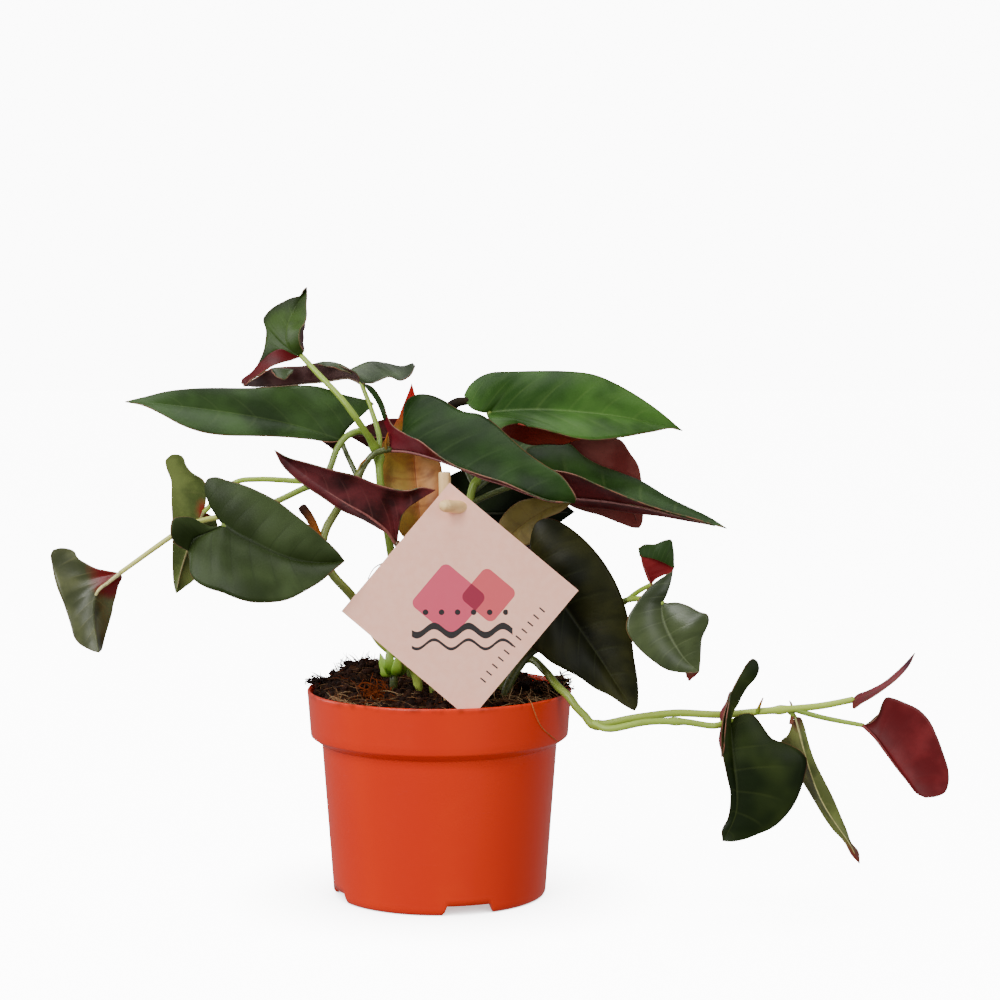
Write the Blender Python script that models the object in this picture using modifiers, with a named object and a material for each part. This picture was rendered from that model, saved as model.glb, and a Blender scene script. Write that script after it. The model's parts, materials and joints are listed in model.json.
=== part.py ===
"""A young syngonium in a 12 cm nursery pot, with a square card on a wooden stake.

The pot stands on Z = 0 with its axis on the Z axis. The front faces -Y.
Sizes and places are in millimetres, and MM turns them into the scene's metres.
"""

import math
from dataclasses import dataclass

import bmesh
import bpy
import numpy as np
from mathutils import Euler, Matrix, Vector

MM = 0.001
GAP = 0.3            # clearance between pieces that touch
WELD = 0.000001      # metres

# The pot
RIM_RADIUS = 60.0
POT_HEIGHT = 94.0
BAND_FOOT_RADIUS = 58.5
BAND_FOOT_HEIGHT = 72.7
NECK_RADIUS = 53.4
NECK_HEIGHT = 69.8
FOOT_RADIUS = 48.5
WALL = 1.5
FLOOR_UNDERSIDE = 4.6
FLOOR_THICKNESS = 1.6
FOOT_FILLET = 1.6
SKIRT_WALL = 2.2
PAD_RADIUS = 13.0
POT_STEPS = 48
NOTCH_WIDTH = 22.0
NOTCH_HEIGHT = 4.2
NOTCH_DEPTH = 14.0
NOTCH_SLOPE = 1.5    # how much narrower a notch is at its top than its middle
NOTCH_TURN = 17.0    # degrees from the front to the first notch
NOTCHES = 4
DRAIN_HOLES = 8
DRAIN_RADIUS = 3.2
DRAIN_CIRCLE = 30.0
DRAIN_CUT = 10.0

# The soil
SOIL_LEVEL = 89.5
SOIL_TILT = -0.055   # rise for each millimetre towards +X
SOIL_MOUND = 3.2
SOIL_RING_STEP = 4.5
SOIL_STEPS = 56
SOIL_ROUGHNESS = 1.0
SOIL_WAVES = 7
SOIL_SEED = 11

# The card, its stake and its pin
CARD_SIDE = 73.5
CARD_THICKNESS = 0.8
CARD_CENTRE = (10.0, -45.5, 139.5)
CARD_TURN = 50.0     # degrees in its own plane
CARD_LEAN = 10.0     # degrees backwards
CARD_HOLE_FROM_RIGHT = 5.5   # from the upper right edge to the hole's centre
CARD_HOLE_FROM_LEFT = 10.0   # from the upper left edge
STAKE_RADIUS = 2.7
STAKE_TOP = (3.0, -29.0, 194.5)
STAKE_FOOT = (5.5, -31.0, 70.0)
PIN_RADIUS = 2.6
PIN_FRONT = 10.8     # how far the pin stands out in front of the card
PIN_BACK = 3.2
PIN_DIRECTION = (-0.62, -0.74, 0.12)

# The blades
BLADE_THICKNESS = 0.8
SINUS_SHARE = 0.3    # share of a blade's rows that run along the sinus
REAR_SHARE = 0.4     # share of them behind the widest place
TUBE_STEP = 8.0


@dataclass(frozen=True)
class Half:
    """One side of a blade, from the midrib to the margin."""

    width: float          # midrib to margin at the widest place
    fold: float = 15.0    # degrees up from flat, towards the top side
    widest: float = 0.25  # place of the widest point, as a share of the length
    lobe: float = 0.2     # how far the lobe runs back past the petiole, in the same share
    reach: float = 0.6    # how far out the lobe's end lies, as a share of the width
    lean: float = 0.0     # sideways lean of the lobe, towards the left of the leaf
    point: float = 0.5    # 0 is a round end and 1 a long drawn-out tip
    flare: float = 0.0    # degrees that the lobe's end lies flatter than the rest


@dataclass(frozen=True)
class Leaf:
    """A blade: its midrib bows from base to tip, and its top side faces face, then face_tip."""

    base: tuple
    tip: tuple
    bow: tuple
    face: tuple
    face_tip: tuple
    left: Half
    right: Half
    tint: str = "green"
    droop: float = 0.0    # degrees that the lobes bend towards the underside
    rows: int = 10
    columns: int = 3


LEAVES = {
    "leaf_top_fold": Leaf(
        (-61, -12, 245), (-59, 8, 276), (-9, -8, 0), (-0.2, -0.95, 0.1), (-0.3, -0.9, 0.3),
        Half(15, 12, 0.5, 0.1, 1.9, point=0.2), Half(17, 60, 0.35, 0.05, 0.5, point=0.5)),
    "leaf_top_flat": Leaf(
        (-35, 9, 231), (-88, 17, 231), (0, 0, -2), (0, -0.1, 1), (0, -0.1, 1),
        Half(20, 22, 0.5, 0.1, 0.6, point=0.1), Half(20, 30, 0.3, 0.42, 0.6, point=0.4)),
    "leaf_left_lance": Leaf(
        (-46, -6, 206), (-139, -16, 225), (3, 8, 6), (0, -0.75, 0.66), (0, -0.7, 0.7),
        Half(14, 12, 0.45, 0.06, 0.5, point=0.7), Half(22, 12, 0.12, 0.14, 0.8, point=0.6)),
    "leaf_left_burgundy": Leaf(
        (-18, -20, 164), (-70, -44, 205), (2, 0, -11), (0.5, 0, 0.85), (0.5, 0, 0.85),
        Half(27, 68, 0.08, 0.02, 0.95, point=0.8), Half(22, 60, 0.2, 0.1, 0.6, point=0.8),
        tint="burgundy"),
    "leaf_left_heart": Leaf(
        (-92, -50, 173), (-40, -54, 158), (0, -4, 0), (-0.1, -0.95, 0.3), (0, -0.95, 0.3),
        Half(21, 14, 0.10, 0.22, 0.9, point=0.4), Half(30, 14, 0.34, 0.40, 0.5, point=0.1)),
    "leaf_left_edge": Leaf(
        (-103, -24, 181), (-118, -14, 138), (0, 4, 0), (0.1, 1, 0.2), (0, 1, 0),
        Half(20, 12, -0.2, 0.34, 0.7, point=0.6), Half(16, 30, 0.2, 0.15, 0.6),
        tint="olive"),
    "leaf_far_left": Leaf(
        (-140, -30, 151), (-151, -34, 115), (-13, 2, 12), (0, 1, 0.1), (0, 1, 0),
        Half(22, 10, 0.28, -0.15, 0.5, point=0.8), Half(16, 55, 0.4, -0.02, 0.5, point=0.2),
        tint="olive"),
    "leaf_centre": Leaf(
        (-21, -12, 204), (60, -48, 182), (0, 0, 12), (0, -0.45, 0.9), (0, -0.9, 0.45),
        Half(30, 10, 0.28, 0.04, 0.7, point=0.2),
        Half(24, 50, 0.25, 0.12, 0.9, lean=2.0, point=0.4)),
    "leaf_right_top": Leaf(
        (30, 8, 222), (111, 14, 210), (0, 0, 6), (0.05, -0.65, 0.76), (0.05, -0.65, 0.76),
        Half(21, 12, 0.3, 0.23, 0.5, point=0.5), Half(22, 12, 0.4, 0.2, 0.5, point=0.6),
        tint="bright"),
    "leaf_right_back": Leaf(
        (53, 26, 195), (93, 34, 163), (0, 0, 0), (0.1, 0.95, 0.3), (0.1, 0.95, 0.3),
        Half(14, 12, 0.3, 0.2, 0.5), Half(26, 10, 0.35, 0.2, 0.6, point=0.2),
        tint="burgundy"),
    "leaf_right_lance": Leaf(
        (41, 2, 183), (128, -24, 169), (-6, 6, 2), (0.1, -0.15, 0.98), (0.1, -0.15, 0.98),
        Half(29, 45, 0.14, 0.10, 0.8, point=1.0), Half(24, 50, 0.12, 0.1, 0.7, point=1.0)),
    "leaf_right_dark": Leaf(
        (45, -16, 141), (87, -30, 88), (0, 0, 0), (0, -0.95, 0.25), (0, -0.95, 0.25),
        Half(31, 12, 0.08, 0.38, 0.65, point=0.3), Half(26, 20, 0.05, 0.3, 0.6, point=0.6),
        tint="dark"),
    "leaf_bronze": Leaf(
        (-6, -8, 162), (-13, 17, 232), (0, 0, 0), (0, -0.95, 0.2), (0, -0.95, 0.2),
        Half(16, 15, 0.42, 0.08, 0.5, point=1.0), Half(14, 15, 0.42, 0.08, 0.5, point=1.0),
        tint="bronze"),
    "leaf_bronze_low": Leaf(
        (29, 0, 165), (58, 6, 177), (0, 0, 0), (0, -0.8, 0.6), (0, -0.8, 0.6),
        Half(10, 15, 0.4, 0.08, 0.5, point=0.6), Half(9, 15, 0.4, 0.08, 0.5, point=0.6),
        tint="bronze", rows=8, columns=2),
    "leaf_shade": Leaf(
        (12, 16, 172), (62, 24, 172), (0, 0, 0), (0, 1, 0.2), (0, 1, 0.2),
        Half(22, 12, 0.3, 0.2, 0.6), Half(22, 12, 0.3, 0.2, 0.6), tint="dark"),
    "leaf_left_back": Leaf(
        (-10, 16, 206), (-42, 14, 208), (0, 0, 0), (0, 1, 0.2), (0, 1, 0.2),
        Half(9, 12, 0.3, 0.15, 0.6), Half(9, 12, 0.3, 0.15, 0.6),
        tint="burgundy", rows=8, columns=2),
    "leaf_right_cup": Leaf(
        (93, -30, 146), (88, -31, 161), (-1, 0, 0), (-0.1, 1, 0), (-0.1, 1, 0),
        Half(14, 8, 0.25, -0.01, 0.7, point=0.6), Half(18, 148, 0.9, -0.01, 0.3, point=0.0),
        rows=8, columns=2),
    "leaf_right_small": Leaf(
        (98.5, -38, 138.5), (115.5, -44, 108.5), (0, 0, 0), (-0.1, -0.95, 0.2), (-0.1, -0.95, 0.2),
        Half(14.5, 18, 0.46, -0.04, 0.35, point=0.8), Half(20, 12, 0.25, 0.36, 0.5, 1.35, 0.2)),
    "leaf_runner_green": Leaf(
        (130, -34, 84), (126, -36, 31), (2, -4, 0), (0.25, -0.95, 0), (0.2, -0.95, 0),
        Half(34, 10, 0.35, -0.22, 0.95, point=0.0), Half(16, 80, 0.1, 0.54, 0.8, 0.8, 0.4, 65)),
    "leaf_runner_pale": Leaf(
        (159, -26, 84), (188, -30, 19), (-4, 0, -2), (0, 1, 0.2), (0, 1, 0.2),
        Half(13, 55, 0.3, 0.1, 0.6, point=0.8), Half(13, 55, 0.3, 0.1, 0.6, point=0.8),
        tint="olive"),
    "leaf_runner_slim": Leaf(
        (184, -24, 91), (211, -30, 115), (2, 0, -4), (-0.6, 0, 0.75), (-0.6, 0, 0.75),
        Half(8, 30, 0.4, 0.1, 0.6, point=0.7), Half(8, 30, 0.4, 0.1, 0.6, point=0.7),
        tint="red", rows=8, columns=2),
    "leaf_runner_red": Leaf(
        (189, -28, 82), (223, -30, 50), (0, 0, 0), (0.1, 0.95, 0.1), (0.1, 0.95, 0.1),
        Half(16, 68, 0.5, 0.05, 0.5, point=0.1), Half(23, 8, 0.35, 0.05, 0.6, point=0.0),
        tint="red"),
    "leaf_back_low": Leaf(
        (4, 84, 124), (2, 112, 66), (0, 14, 8), (0.1, 0.9, 0.4), (0, 1, -0.2),
        Half(21, 14, 0.2, 0.25, 0.6), Half(21, 14, 0.2, 0.25, 0.6)),
    "leaf_back_right": Leaf(
        (36, 66, 150), (60, 108, 104), (4, 8, 10), (0.3, 0.8, 0.5), (0.3, 0.9, 0.1),
        Half(19, 14, 0.2, 0.25, 0.6), Half(19, 14, 0.2, 0.25, 0.6)),
    "leaf_back_high": Leaf(
        (34, 50, 196), (56, 104, 200), (0, 4, 10), (0.1, 0.2, 1), (0.1, 0.4, 0.9),
        Half(20, 14, 0.2, 0.15, 0.6), Half(20, 14, 0.2, 0.15, 0.6)),
    "leaf_back_left": Leaf(
        (2, 46, 160), (-6, 104, 150), (0, 6, 10), (0, 0.4, 1), (0, 0.7, 0.7),
        Half(20, 14, 0.2, 0.25, 0.6), Half(20, 14, 0.2, 0.25, 0.6)),
}


def at(name):
    """The place where a leaf's petiole ends."""
    return LEAVES[name].base


# Each stem node: its routes, each from its foot or branching place to its end. A route holds
# the radius at its foot, the radius at its end, and the places that it passes.
STEMS = {
    "stem_centre": [
        (2.2, 1.7, [(-12, 2, 74), (-12, 2, 93), (-18, -3, 134), (-22, -9, 160), (-26, -10, 187),
                    (-27, -8, 203)]),
        (1.7, 1.2, [(-27, -8, 201), (-31, -15, 209), (-37, -21, 219), (-44, -20, 228),
                    (-53, -16, 237), at("leaf_top_fold")]),
        (1.4, 1.0, [(-27, -8, 202), (-27, -1, 209), (-31, 5, 221), at("leaf_top_flat")]),
        (1.6, 1.4, [(-27, -8, 202), (-33, -11, 211), (-40, -14, 210), (-45, -16, 204),
                    (-48, -18, 196), (-52, -20, 189)]),
        (1.3, 1.1, [(-48, -17, 195), (-52, -20, 190), (-61, -22, 190), (-79, -24, 191),
                    (-91, -25, 189), at("leaf_left_edge")]),
        (1.5, 1.1, [(-48, -17, 195), (-52, -20, 189), (-59, -22, 187), (-70, -26, 182),
                    (-83, -30, 177), (-96, -31, 175), (-108, -32, 172), (-118, -31, 166),
                    at("leaf_far_left")]),
    ],
    "stem_left": [
        (2.2, 1.8, [(-9, -13, 74), (-9, -13, 92), (-12, -16, 106), (-26, -20, 118), (-37, -23, 137),
                    (-47, -25, 149), (-51, -26, 159), (-50, -24, 168), (-45, -20, 177),
                    (-35, -14, 193)]),
        (1.3, 1.1, [(-36, -15, 191), (-39, -12, 198), (-43, -9, 202), at("leaf_left_lance")]),
        (1.6, 1.3, [(-36, -15, 191), (-32, -14, 198), (-28, -14, 202), at("leaf_centre")]),
        (1.6, 1.2, [(-51, -26, 159), (-61, -32, 160), (-77, -42, 165), at("leaf_left_heart")]),
    ],
    "stem_crown": [
        (2.4, 1.6, [(-1, -18, 74), (-2, -18, 96), (-9, -20, 137), (-15, -20, 155),
                    at("leaf_left_burgundy")]),
        (1.8, 1.3, [(-2, -18, 98), (-4, -10, 120), (-5, -8, 140), at("leaf_bronze")]),
    ],
    "stem_right": [
        (2.3, 1.8, [(6, 8, 74), (6, 7, 92), (9, 3, 134), (14, 1, 180), (18, 2, 190)]),
        (1.7, 1.3, [(17, 2, 187), (21, 4, 200), (25, 6, 211), at("leaf_right_top")]),
        (1.5, 1.2, [(14, 1, 178), (28, 2, 184), at("leaf_right_lance")]),
        (1.5, 1.2, [(16, 2, 184), (26, 8, 191), (40, 20, 198), at("leaf_right_back")]),
        (1.5, 1.2, [(9, 3, 134), (15, 2, 150), at("leaf_bronze_low")]),
        (1.5, 1.2, [(9, 4, 130), (10, 12, 155), at("leaf_shade")]),
        (1.5, 1.0, [(16, 3, 186), (8, 12, 198), at("leaf_left_back")]),
    ],
    "stem_low_right": [
        (2.4, 1.6, [(30, -18, 74), (30, -18, 94), (38, -16, 109), (47, -14, 118), (49, -15, 131),
                    at("leaf_right_dark")]),
        (1.7, 1.2, [(40, -15, 111), (54, -10, 120), (70, -10, 129), (82, -14, 135),
                    (89, -26, 138), at("leaf_right_small")]),
        (1.2, 1.0, [(83, -16, 135), (89, -24, 141), at("leaf_right_cup")]),
    ],
    "stem_back": [
        (2.4, 1.6, [(0, 24, 74), (0, 24, 92), (2, 34, 130), (4, 60, 146), (5, 76, 138),
                    at("leaf_back_low")]),
        (1.7, 1.2, [(1, 28, 110), (14, 40, 138), (26, 54, 152), at("leaf_back_right")]),
        (1.7, 1.2, [(1, 27, 106), (18, 32, 150), (28, 38, 180), at("leaf_back_high")]),
        (1.7, 1.2, [(2, 30, 118), (2, 36, 145), at("leaf_back_left")]),
    ],
    "runner": [
        (2.0, 1.5, [(27, -2, 74), (27, -2, 92), (32, -2, 103), (41, -6, 108), (48, -18, 104),
                    (53, -27, 99), (58, -32, 95), (61, -34, 91), (65, -35, 87), (70, -36, 83),
                    (86, -36, 86), (105, -34, 88), (125, -32, 87), (142, -30, 88), (158, -28, 89),
                    (171, -26, 90), at("leaf_runner_slim")]),
        (1.6, 1.4, [(68, -36, 84), (76, -40, 82), (92, -40, 85), (108, -39, 85), (122, -38, 83),
                    at("leaf_runner_green")]),
        (1.3, 1.0, [(157, -28, 89), (171, -28, 85), at("leaf_runner_red")]),
        (1.3, 1.0, [(155, -28, 89), at("leaf_runner_pale")]),
    ],
}

# A curled shoot beside the stems, and a dried leaf sheath on the left stem, as stems above
SPROUT = [
    (1.8, 3.4, [(-19, -20, 80), (-20, -20, 94), (-21, -20, 104)]),
    (3.4, 0.8, [(-21, -20, 103), (-23, -21, 109), (-27, -22, 114)]),
]
DRY_SHEATH = [(1.4, 0.9, [(-53.3, -26.2, 166), (-57, -25, 172), (-60, -23, 178)])]

COLOURS = {
    "pot": ((0.66, 0.070, 0.012), 0.42),
    "soil": ((0.020, 0.011, 0.007), 0.95),
    "card": ((0.72, 0.50, 0.47), 0.6),
    "wood": ((0.70, 0.52, 0.34), 0.6),
    "stem": ((0.36, 0.48, 0.10), 0.45),
    "sprout": ((0.22, 0.50, 0.05), 0.45),
    "sheath": ((0.20, 0.09, 0.03), 0.8),
    "green": ((0.025, 0.075, 0.018), 0.35),
    "bright": ((0.045, 0.150, 0.020), 0.35),
    "dark": ((0.010, 0.018, 0.010), 0.35),
    "olive": ((0.110, 0.150, 0.035), 0.40),
    "burgundy": ((0.060, 0.010, 0.014), 0.35),
    "red": ((0.210, 0.015, 0.020), 0.40),
    "bronze": ((0.360, 0.130, 0.040), 0.40),
}


def mm(place):
    """A place in metres from one in millimetres."""
    return Vector(place) * MM


def clear_scene():
    """Removes whatever the scene starts with."""
    for old in list(bpy.data.objects):
        bpy.data.objects.remove(old, do_unlink=True)


def new_collection(name):
    collection = bpy.data.collections.new(name)
    bpy.context.scene.collection.children.link(collection)
    return collection


def new_material(name):
    """A Principled material with the colour and roughness listed for the name."""
    colour, roughness = COLOURS[name]
    material = bpy.data.materials.new(name)
    material.use_nodes = True
    shader = material.node_tree.nodes["Principled BSDF"]
    shader.inputs["Base Color"].default_value = (*colour, 1)
    shader.inputs["Roughness"].default_value = roughness
    shader.inputs["Metallic"].default_value = 0
    material.diffuse_color = (*colour, 1)
    return material


def new_object(name, mesh, collection):
    made = bpy.data.objects.new(name, mesh)
    collection.objects.link(made)
    return made


def dress(made, material, sharp_degrees=40):
    """Gives an object its material and smooth shading with sharp edges kept."""
    made.data.materials.clear()
    made.data.materials.append(material)
    made.data.shade_smooth()
    made.data.set_sharp_from_angle(angle=math.radians(sharp_degrees))
    return made


def apply_modifiers(made):
    """Replaces an object's mesh by its evaluated one, with doubles merged."""
    graph = bpy.context.evaluated_depsgraph_get()
    graph.update()
    mesh = bpy.data.meshes.new_from_object(made.evaluated_get(graph))
    old = made.data
    made.modifiers.clear()
    made.data = mesh
    bpy.data.meshes.remove(old)
    work = bmesh.new()
    work.from_mesh(mesh)
    bmesh.ops.remove_doubles(work, verts=work.verts, dist=WELD)
    work.to_mesh(mesh)
    work.free()
    return made


def add_boolean(made, operation, other):
    """Joins or cuts an object with another object, or with a collection."""
    boolean = made.modifiers.new(operation.lower(), "BOOLEAN")
    boolean.operation = operation
    boolean.solver = "EXACT"
    if isinstance(other, bpy.types.Collection):
        boolean.operand_type = "COLLECTION"
        boolean.collection = other
    else:
        boolean.object = other
    return boolean


def hide(made):
    made.hide_render = True
    made.display_type = "WIRE"
    return made


def remove_collection(collection):
    for old in list(collection.objects):
        bpy.data.objects.remove(old, do_unlink=True)
    bpy.data.collections.remove(collection)


def turned(name, profile, collection, steps):
    """A solid turned round the Z axis from (radius, height) points, outer side first, top to bottom."""
    mesh = bpy.data.meshes.new(name)
    points = [(radius * MM, 0, height * MM) for radius, height in profile]
    edges = [(i, i + 1) for i in range(len(points) - 1) if profile[i][0] + profile[i + 1][0] > 0]
    mesh.from_pydata(points, edges, [])
    made = new_object(name, mesh, collection)
    screw = made.modifiers.new("turn", "SCREW")
    screw.steps = steps
    screw.render_steps = steps
    screw.use_merge_vertices = True
    screw.merge_threshold = WELD
    return apply_modifiers(made)


def smooth_route(places, step):
    """Points about a step apart on a smooth curve through the places (Catmull-Rom)."""
    places = [Vector(place) for place in places]
    ends = [places[0] * 2 - places[1]] + places + [places[-1] * 2 - places[-2]]
    route = []
    for before, start, end, after in zip(ends, ends[1:], ends[2:], ends[3:]):
        count = max(1, round((end - start).length / step))
        for i in range(count):
            t = i / count
            route.append(0.5 * (2 * start + (end - before) * t
                                + (2 * before - 5 * start + 4 * end - after) * t * t
                                + (3 * start - before - 3 * end + after) * t * t * t))
    return route + [places[-1]]


def tube(name, start_radius, end_radius, places, collection, step=TUBE_STEP, sides=6, grow=0.0):
    """A closed tapering tube along a smooth curve through the places, widened by grow."""
    route = smooth_route(places, step)
    if grow:
        route[0] += (route[0] - route[1]).normalized() * grow
        route[-1] += (route[-1] - route[-2]).normalized() * grow
    curve = bpy.data.curves.new(name, "CURVE")
    curve.dimensions = "3D"
    curve.bevel_depth = MM
    curve.bevel_resolution = (sides - 4) // 2
    curve.use_fill_caps = True
    spline = curve.splines.new("POLY")
    spline.points.add(len(route) - 1)
    for i, place in enumerate(route):
        share = i / (len(route) - 1)
        spline.points[i].co = (*mm(place), 1)
        spline.points[i].radius = start_radius + (end_radius - start_radius) * share + grow
    source = bpy.data.objects.new(name + "_curve", curve)
    collection.objects.link(source)
    bpy.context.view_layer.update()
    graph = bpy.context.evaluated_depsgraph_get()
    mesh = bpy.data.meshes.new_from_object(source.evaluated_get(graph))
    bpy.data.objects.remove(source)
    work = bmesh.new()
    work.from_mesh(mesh)
    bmesh.ops.remove_doubles(work, verts=work.verts, dist=WELD)
    work.to_mesh(mesh)
    work.free()
    return new_object(name, mesh, collection)


def build_pot(parts, cutters):
    """The pot: a turned shell with a rim band, a raised floor, a foot pad, notches and holes."""
    floor_top = FLOOR_UNDERSIDE + FLOOR_THICKNESS
    skirt = FOOT_RADIUS - SKIRT_WALL
    profile = [
        (RIM_RADIUS - WALL * 0.5, POT_HEIGHT),
        (RIM_RADIUS - 0.2, POT_HEIGHT - 0.4),
        (RIM_RADIUS, POT_HEIGHT - 1.2),
        (RIM_RADIUS - 0.2, POT_HEIGHT - 3.0),
        (BAND_FOOT_RADIUS, BAND_FOOT_HEIGHT + 0.8),
        (BAND_FOOT_RADIUS - 0.6, BAND_FOOT_HEIGHT),
        (NECK_RADIUS + 0.3, NECK_HEIGHT),
        (NECK_RADIUS, NECK_HEIGHT - 1.0),
        (FOOT_RADIUS, FOOT_FILLET * 1.5),
        (FOOT_RADIUS - FOOT_FILLET * 0.4, FOOT_FILLET * 0.4),
        (FOOT_RADIUS - FOOT_FILLET, 0),
        (skirt, 0),
        (skirt, FLOOR_UNDERSIDE),
        (PAD_RADIUS + 0.6, FLOOR_UNDERSIDE),
        (PAD_RADIUS, 0),
        (0, 0),
        (0, floor_top),
        (FOOT_RADIUS - WALL - 2, floor_top),
        (FOOT_RADIUS - WALL + 0.2, floor_top + 2),
        (NECK_RADIUS - WALL, NECK_HEIGHT + 0.6),
        (BAND_FOOT_RADIUS - WALL - 0.4, BAND_FOOT_HEIGHT + 1.2),
        (BAND_FOOT_RADIUS - WALL, BAND_FOOT_HEIGHT + 2.4),
        (RIM_RADIUS - WALL - 0.2, POT_HEIGHT - 0.8),
        (RIM_RADIUS - WALL * 0.5, POT_HEIGHT),
    ]
    pot = turned("pot", profile, parts, POT_STEPS)
    for i in range(NOTCHES):
        turn = math.radians(NOTCH_TURN) + i * math.tau / NOTCHES
        notch = wedge(f"notch_{i + 1}", cutters)
        reach = FOOT_RADIUS - SKIRT_WALL / 2
        notch.location = mm((reach * math.sin(turn), -reach * math.cos(turn), 0))
        notch.rotation_euler = Euler((0, 0, turn))
    for i in range(DRAIN_HOLES):
        turn = (i + 0.5) * math.tau / DRAIN_HOLES
        mesh = bpy.data.meshes.new(f"drain_{i + 1}")
        work = bmesh.new()
        bmesh.ops.create_cone(work, cap_ends=True, segments=12, radius1=DRAIN_RADIUS * MM,
                              radius2=DRAIN_RADIUS * MM, depth=DRAIN_CUT * MM)
        work.to_mesh(mesh)
        work.free()
        hole = hide(new_object(f"drain_{i + 1}", mesh, cutters))
        hole.location = mm((DRAIN_CIRCLE * math.sin(turn), DRAIN_CIRCLE * math.cos(turn), floor_top))
    add_boolean(pot, "DIFFERENCE", cutters)
    apply_modifiers(pot)
    return dress(pot, new_material("pot"), 30)


def wedge(name, cutters):
    """A cutter with sloping sides for one notch of the foot skirt."""
    mesh = bpy.data.meshes.new(name)
    work = bmesh.new()
    bmesh.ops.create_cube(work, size=1)
    for vertex in work.verts:
        slope = NOTCH_SLOPE if vertex.co.z < 0 else -NOTCH_SLOPE
        vertex.co.x *= (NOTCH_WIDTH + slope) * MM
        vertex.co.y *= NOTCH_DEPTH * MM
        vertex.co.z = -2 * MM if vertex.co.z < 0 else NOTCH_HEIGHT * MM
    work.to_mesh(mesh)
    work.free()
    return hide(new_object(name, mesh, cutters))


def build_soil(parts):
    """The soil: a turned body that follows the pot's inside, with a relief on its top."""
    clear = WALL + GAP + 0.2
    rim = RIM_RADIUS - clear - 0.8
    floor_top = FLOOR_UNDERSIDE + FLOOR_THICKNESS + GAP
    rings = int(rim // SOIL_RING_STEP)
    profile = [(i * SOIL_RING_STEP, SOIL_LEVEL) for i in range(rings + 1)]
    profile += [
        (rim, SOIL_LEVEL - 1.0),
        (BAND_FOOT_RADIUS - clear - 0.3, BAND_FOOT_HEIGHT + 2.8),
        (NECK_RADIUS - clear, NECK_HEIGHT + 1.4),
        (FOOT_RADIUS - clear, floor_top + 2.2),
        (FOOT_RADIUS - clear - 2.2, floor_top),
        (0, floor_top),
    ]
    soil = turned("soil", profile, parts, SOIL_STEPS)
    rng = np.random.default_rng(SOIL_SEED)
    waves = [(SOIL_ROUGHNESS / (1 + 0.25 * i), *rng.uniform(-0.35, 0.35, 2) * (1 + 0.3 * i),
              rng.uniform(0, math.tau)) for i in range(SOIL_WAVES)]
    for vertex in soil.data.vertices:
        if vertex.co.z > (SOIL_LEVEL - 2) * MM:
            x, y = vertex.co.x / MM, vertex.co.y / MM
            inset = 1 - math.hypot(x, y) / rim
            swell = SOIL_TILT * x + SOIL_MOUND * inset * (2 - inset)
            relief = sum(size * math.sin(kx * x + ky * y + turn) for size, kx, ky, turn in waves)
            vertex.co.z += (swell + relief * min(1, 0.4 + 6 * inset)) * MM
    soil.data.update()
    return soil


def turn_of_card():
    """The card's rotation: turned in its own plane, then leant back."""
    lean = Matrix.Rotation(math.radians(-CARD_LEAN), 4, "X")
    return lean @ Matrix.Rotation(math.radians(-CARD_TURN), 4, "Y")


def card_block(name, grow, collection):
    """A square card's block, wider than the card by grow on every side."""
    mesh = bpy.data.meshes.new(name)
    work = bmesh.new()
    bmesh.ops.create_cube(work, size=1)
    side, thick = CARD_SIDE + 2 * grow, CARD_THICKNESS + 2 * grow
    bmesh.ops.scale(work, verts=work.verts, vec=(side * MM, thick * MM, side * MM))
    work.to_mesh(mesh)
    work.free()
    block = new_object(name, mesh, collection)
    block.matrix_world = Matrix.Translation(mm(CARD_CENTRE)) @ turn_of_card()
    return block


def pin_route(front, back):
    """The pin's axis through the card's hole, from a distance in front to one behind."""
    place = Vector((CARD_SIDE / 2 - CARD_HOLE_FROM_RIGHT, 0, CARD_SIDE / 2 - CARD_HOLE_FROM_LEFT))
    hole = Vector(CARD_CENTRE) + turn_of_card().to_3x3() @ place
    along = Vector(PIN_DIRECTION).normalized()
    return [hole + along * front, hole - along * back]


def build_label(parts, cutters):
    """The card with its hole, the round stake behind it and the pin through it."""
    card = card_block("label_card", 0, parts)
    hole = hide(tube("card_hole", PIN_RADIUS, PIN_RADIUS, pin_route(PIN_FRONT, PIN_BACK), cutters,
                     step=20, sides=12, grow=GAP))
    add_boolean(card, "DIFFERENCE", hole)
    apply_modifiers(card)
    dress(card, new_material("card"), 30)
    wood = new_material("wood")
    stake = tube("label_stake", STAKE_RADIUS, STAKE_RADIUS, [STAKE_FOOT, STAKE_TOP], parts,
                 step=60, sides=12)
    dress(stake, wood)
    pin = tube("label_pin", PIN_RADIUS, PIN_RADIUS, pin_route(PIN_FRONT, PIN_BACK), parts,
               step=20, sides=12)
    dress(pin, wood)


def bezier(points, share):
    """Points at the shares of a Bezier curve, by repeated mixing of its control points."""
    points = [np.asarray(point, float) for point in points]
    share = np.asarray(share, float)[:, None]
    while len(points) > 1:
        points = [a * (1 - share) + b * share for a, b in zip(points, points[1:])]
    return points[0]


def unit(vectors):
    return vectors / np.linalg.norm(vectors, axis=-1, keepdims=True)


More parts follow.
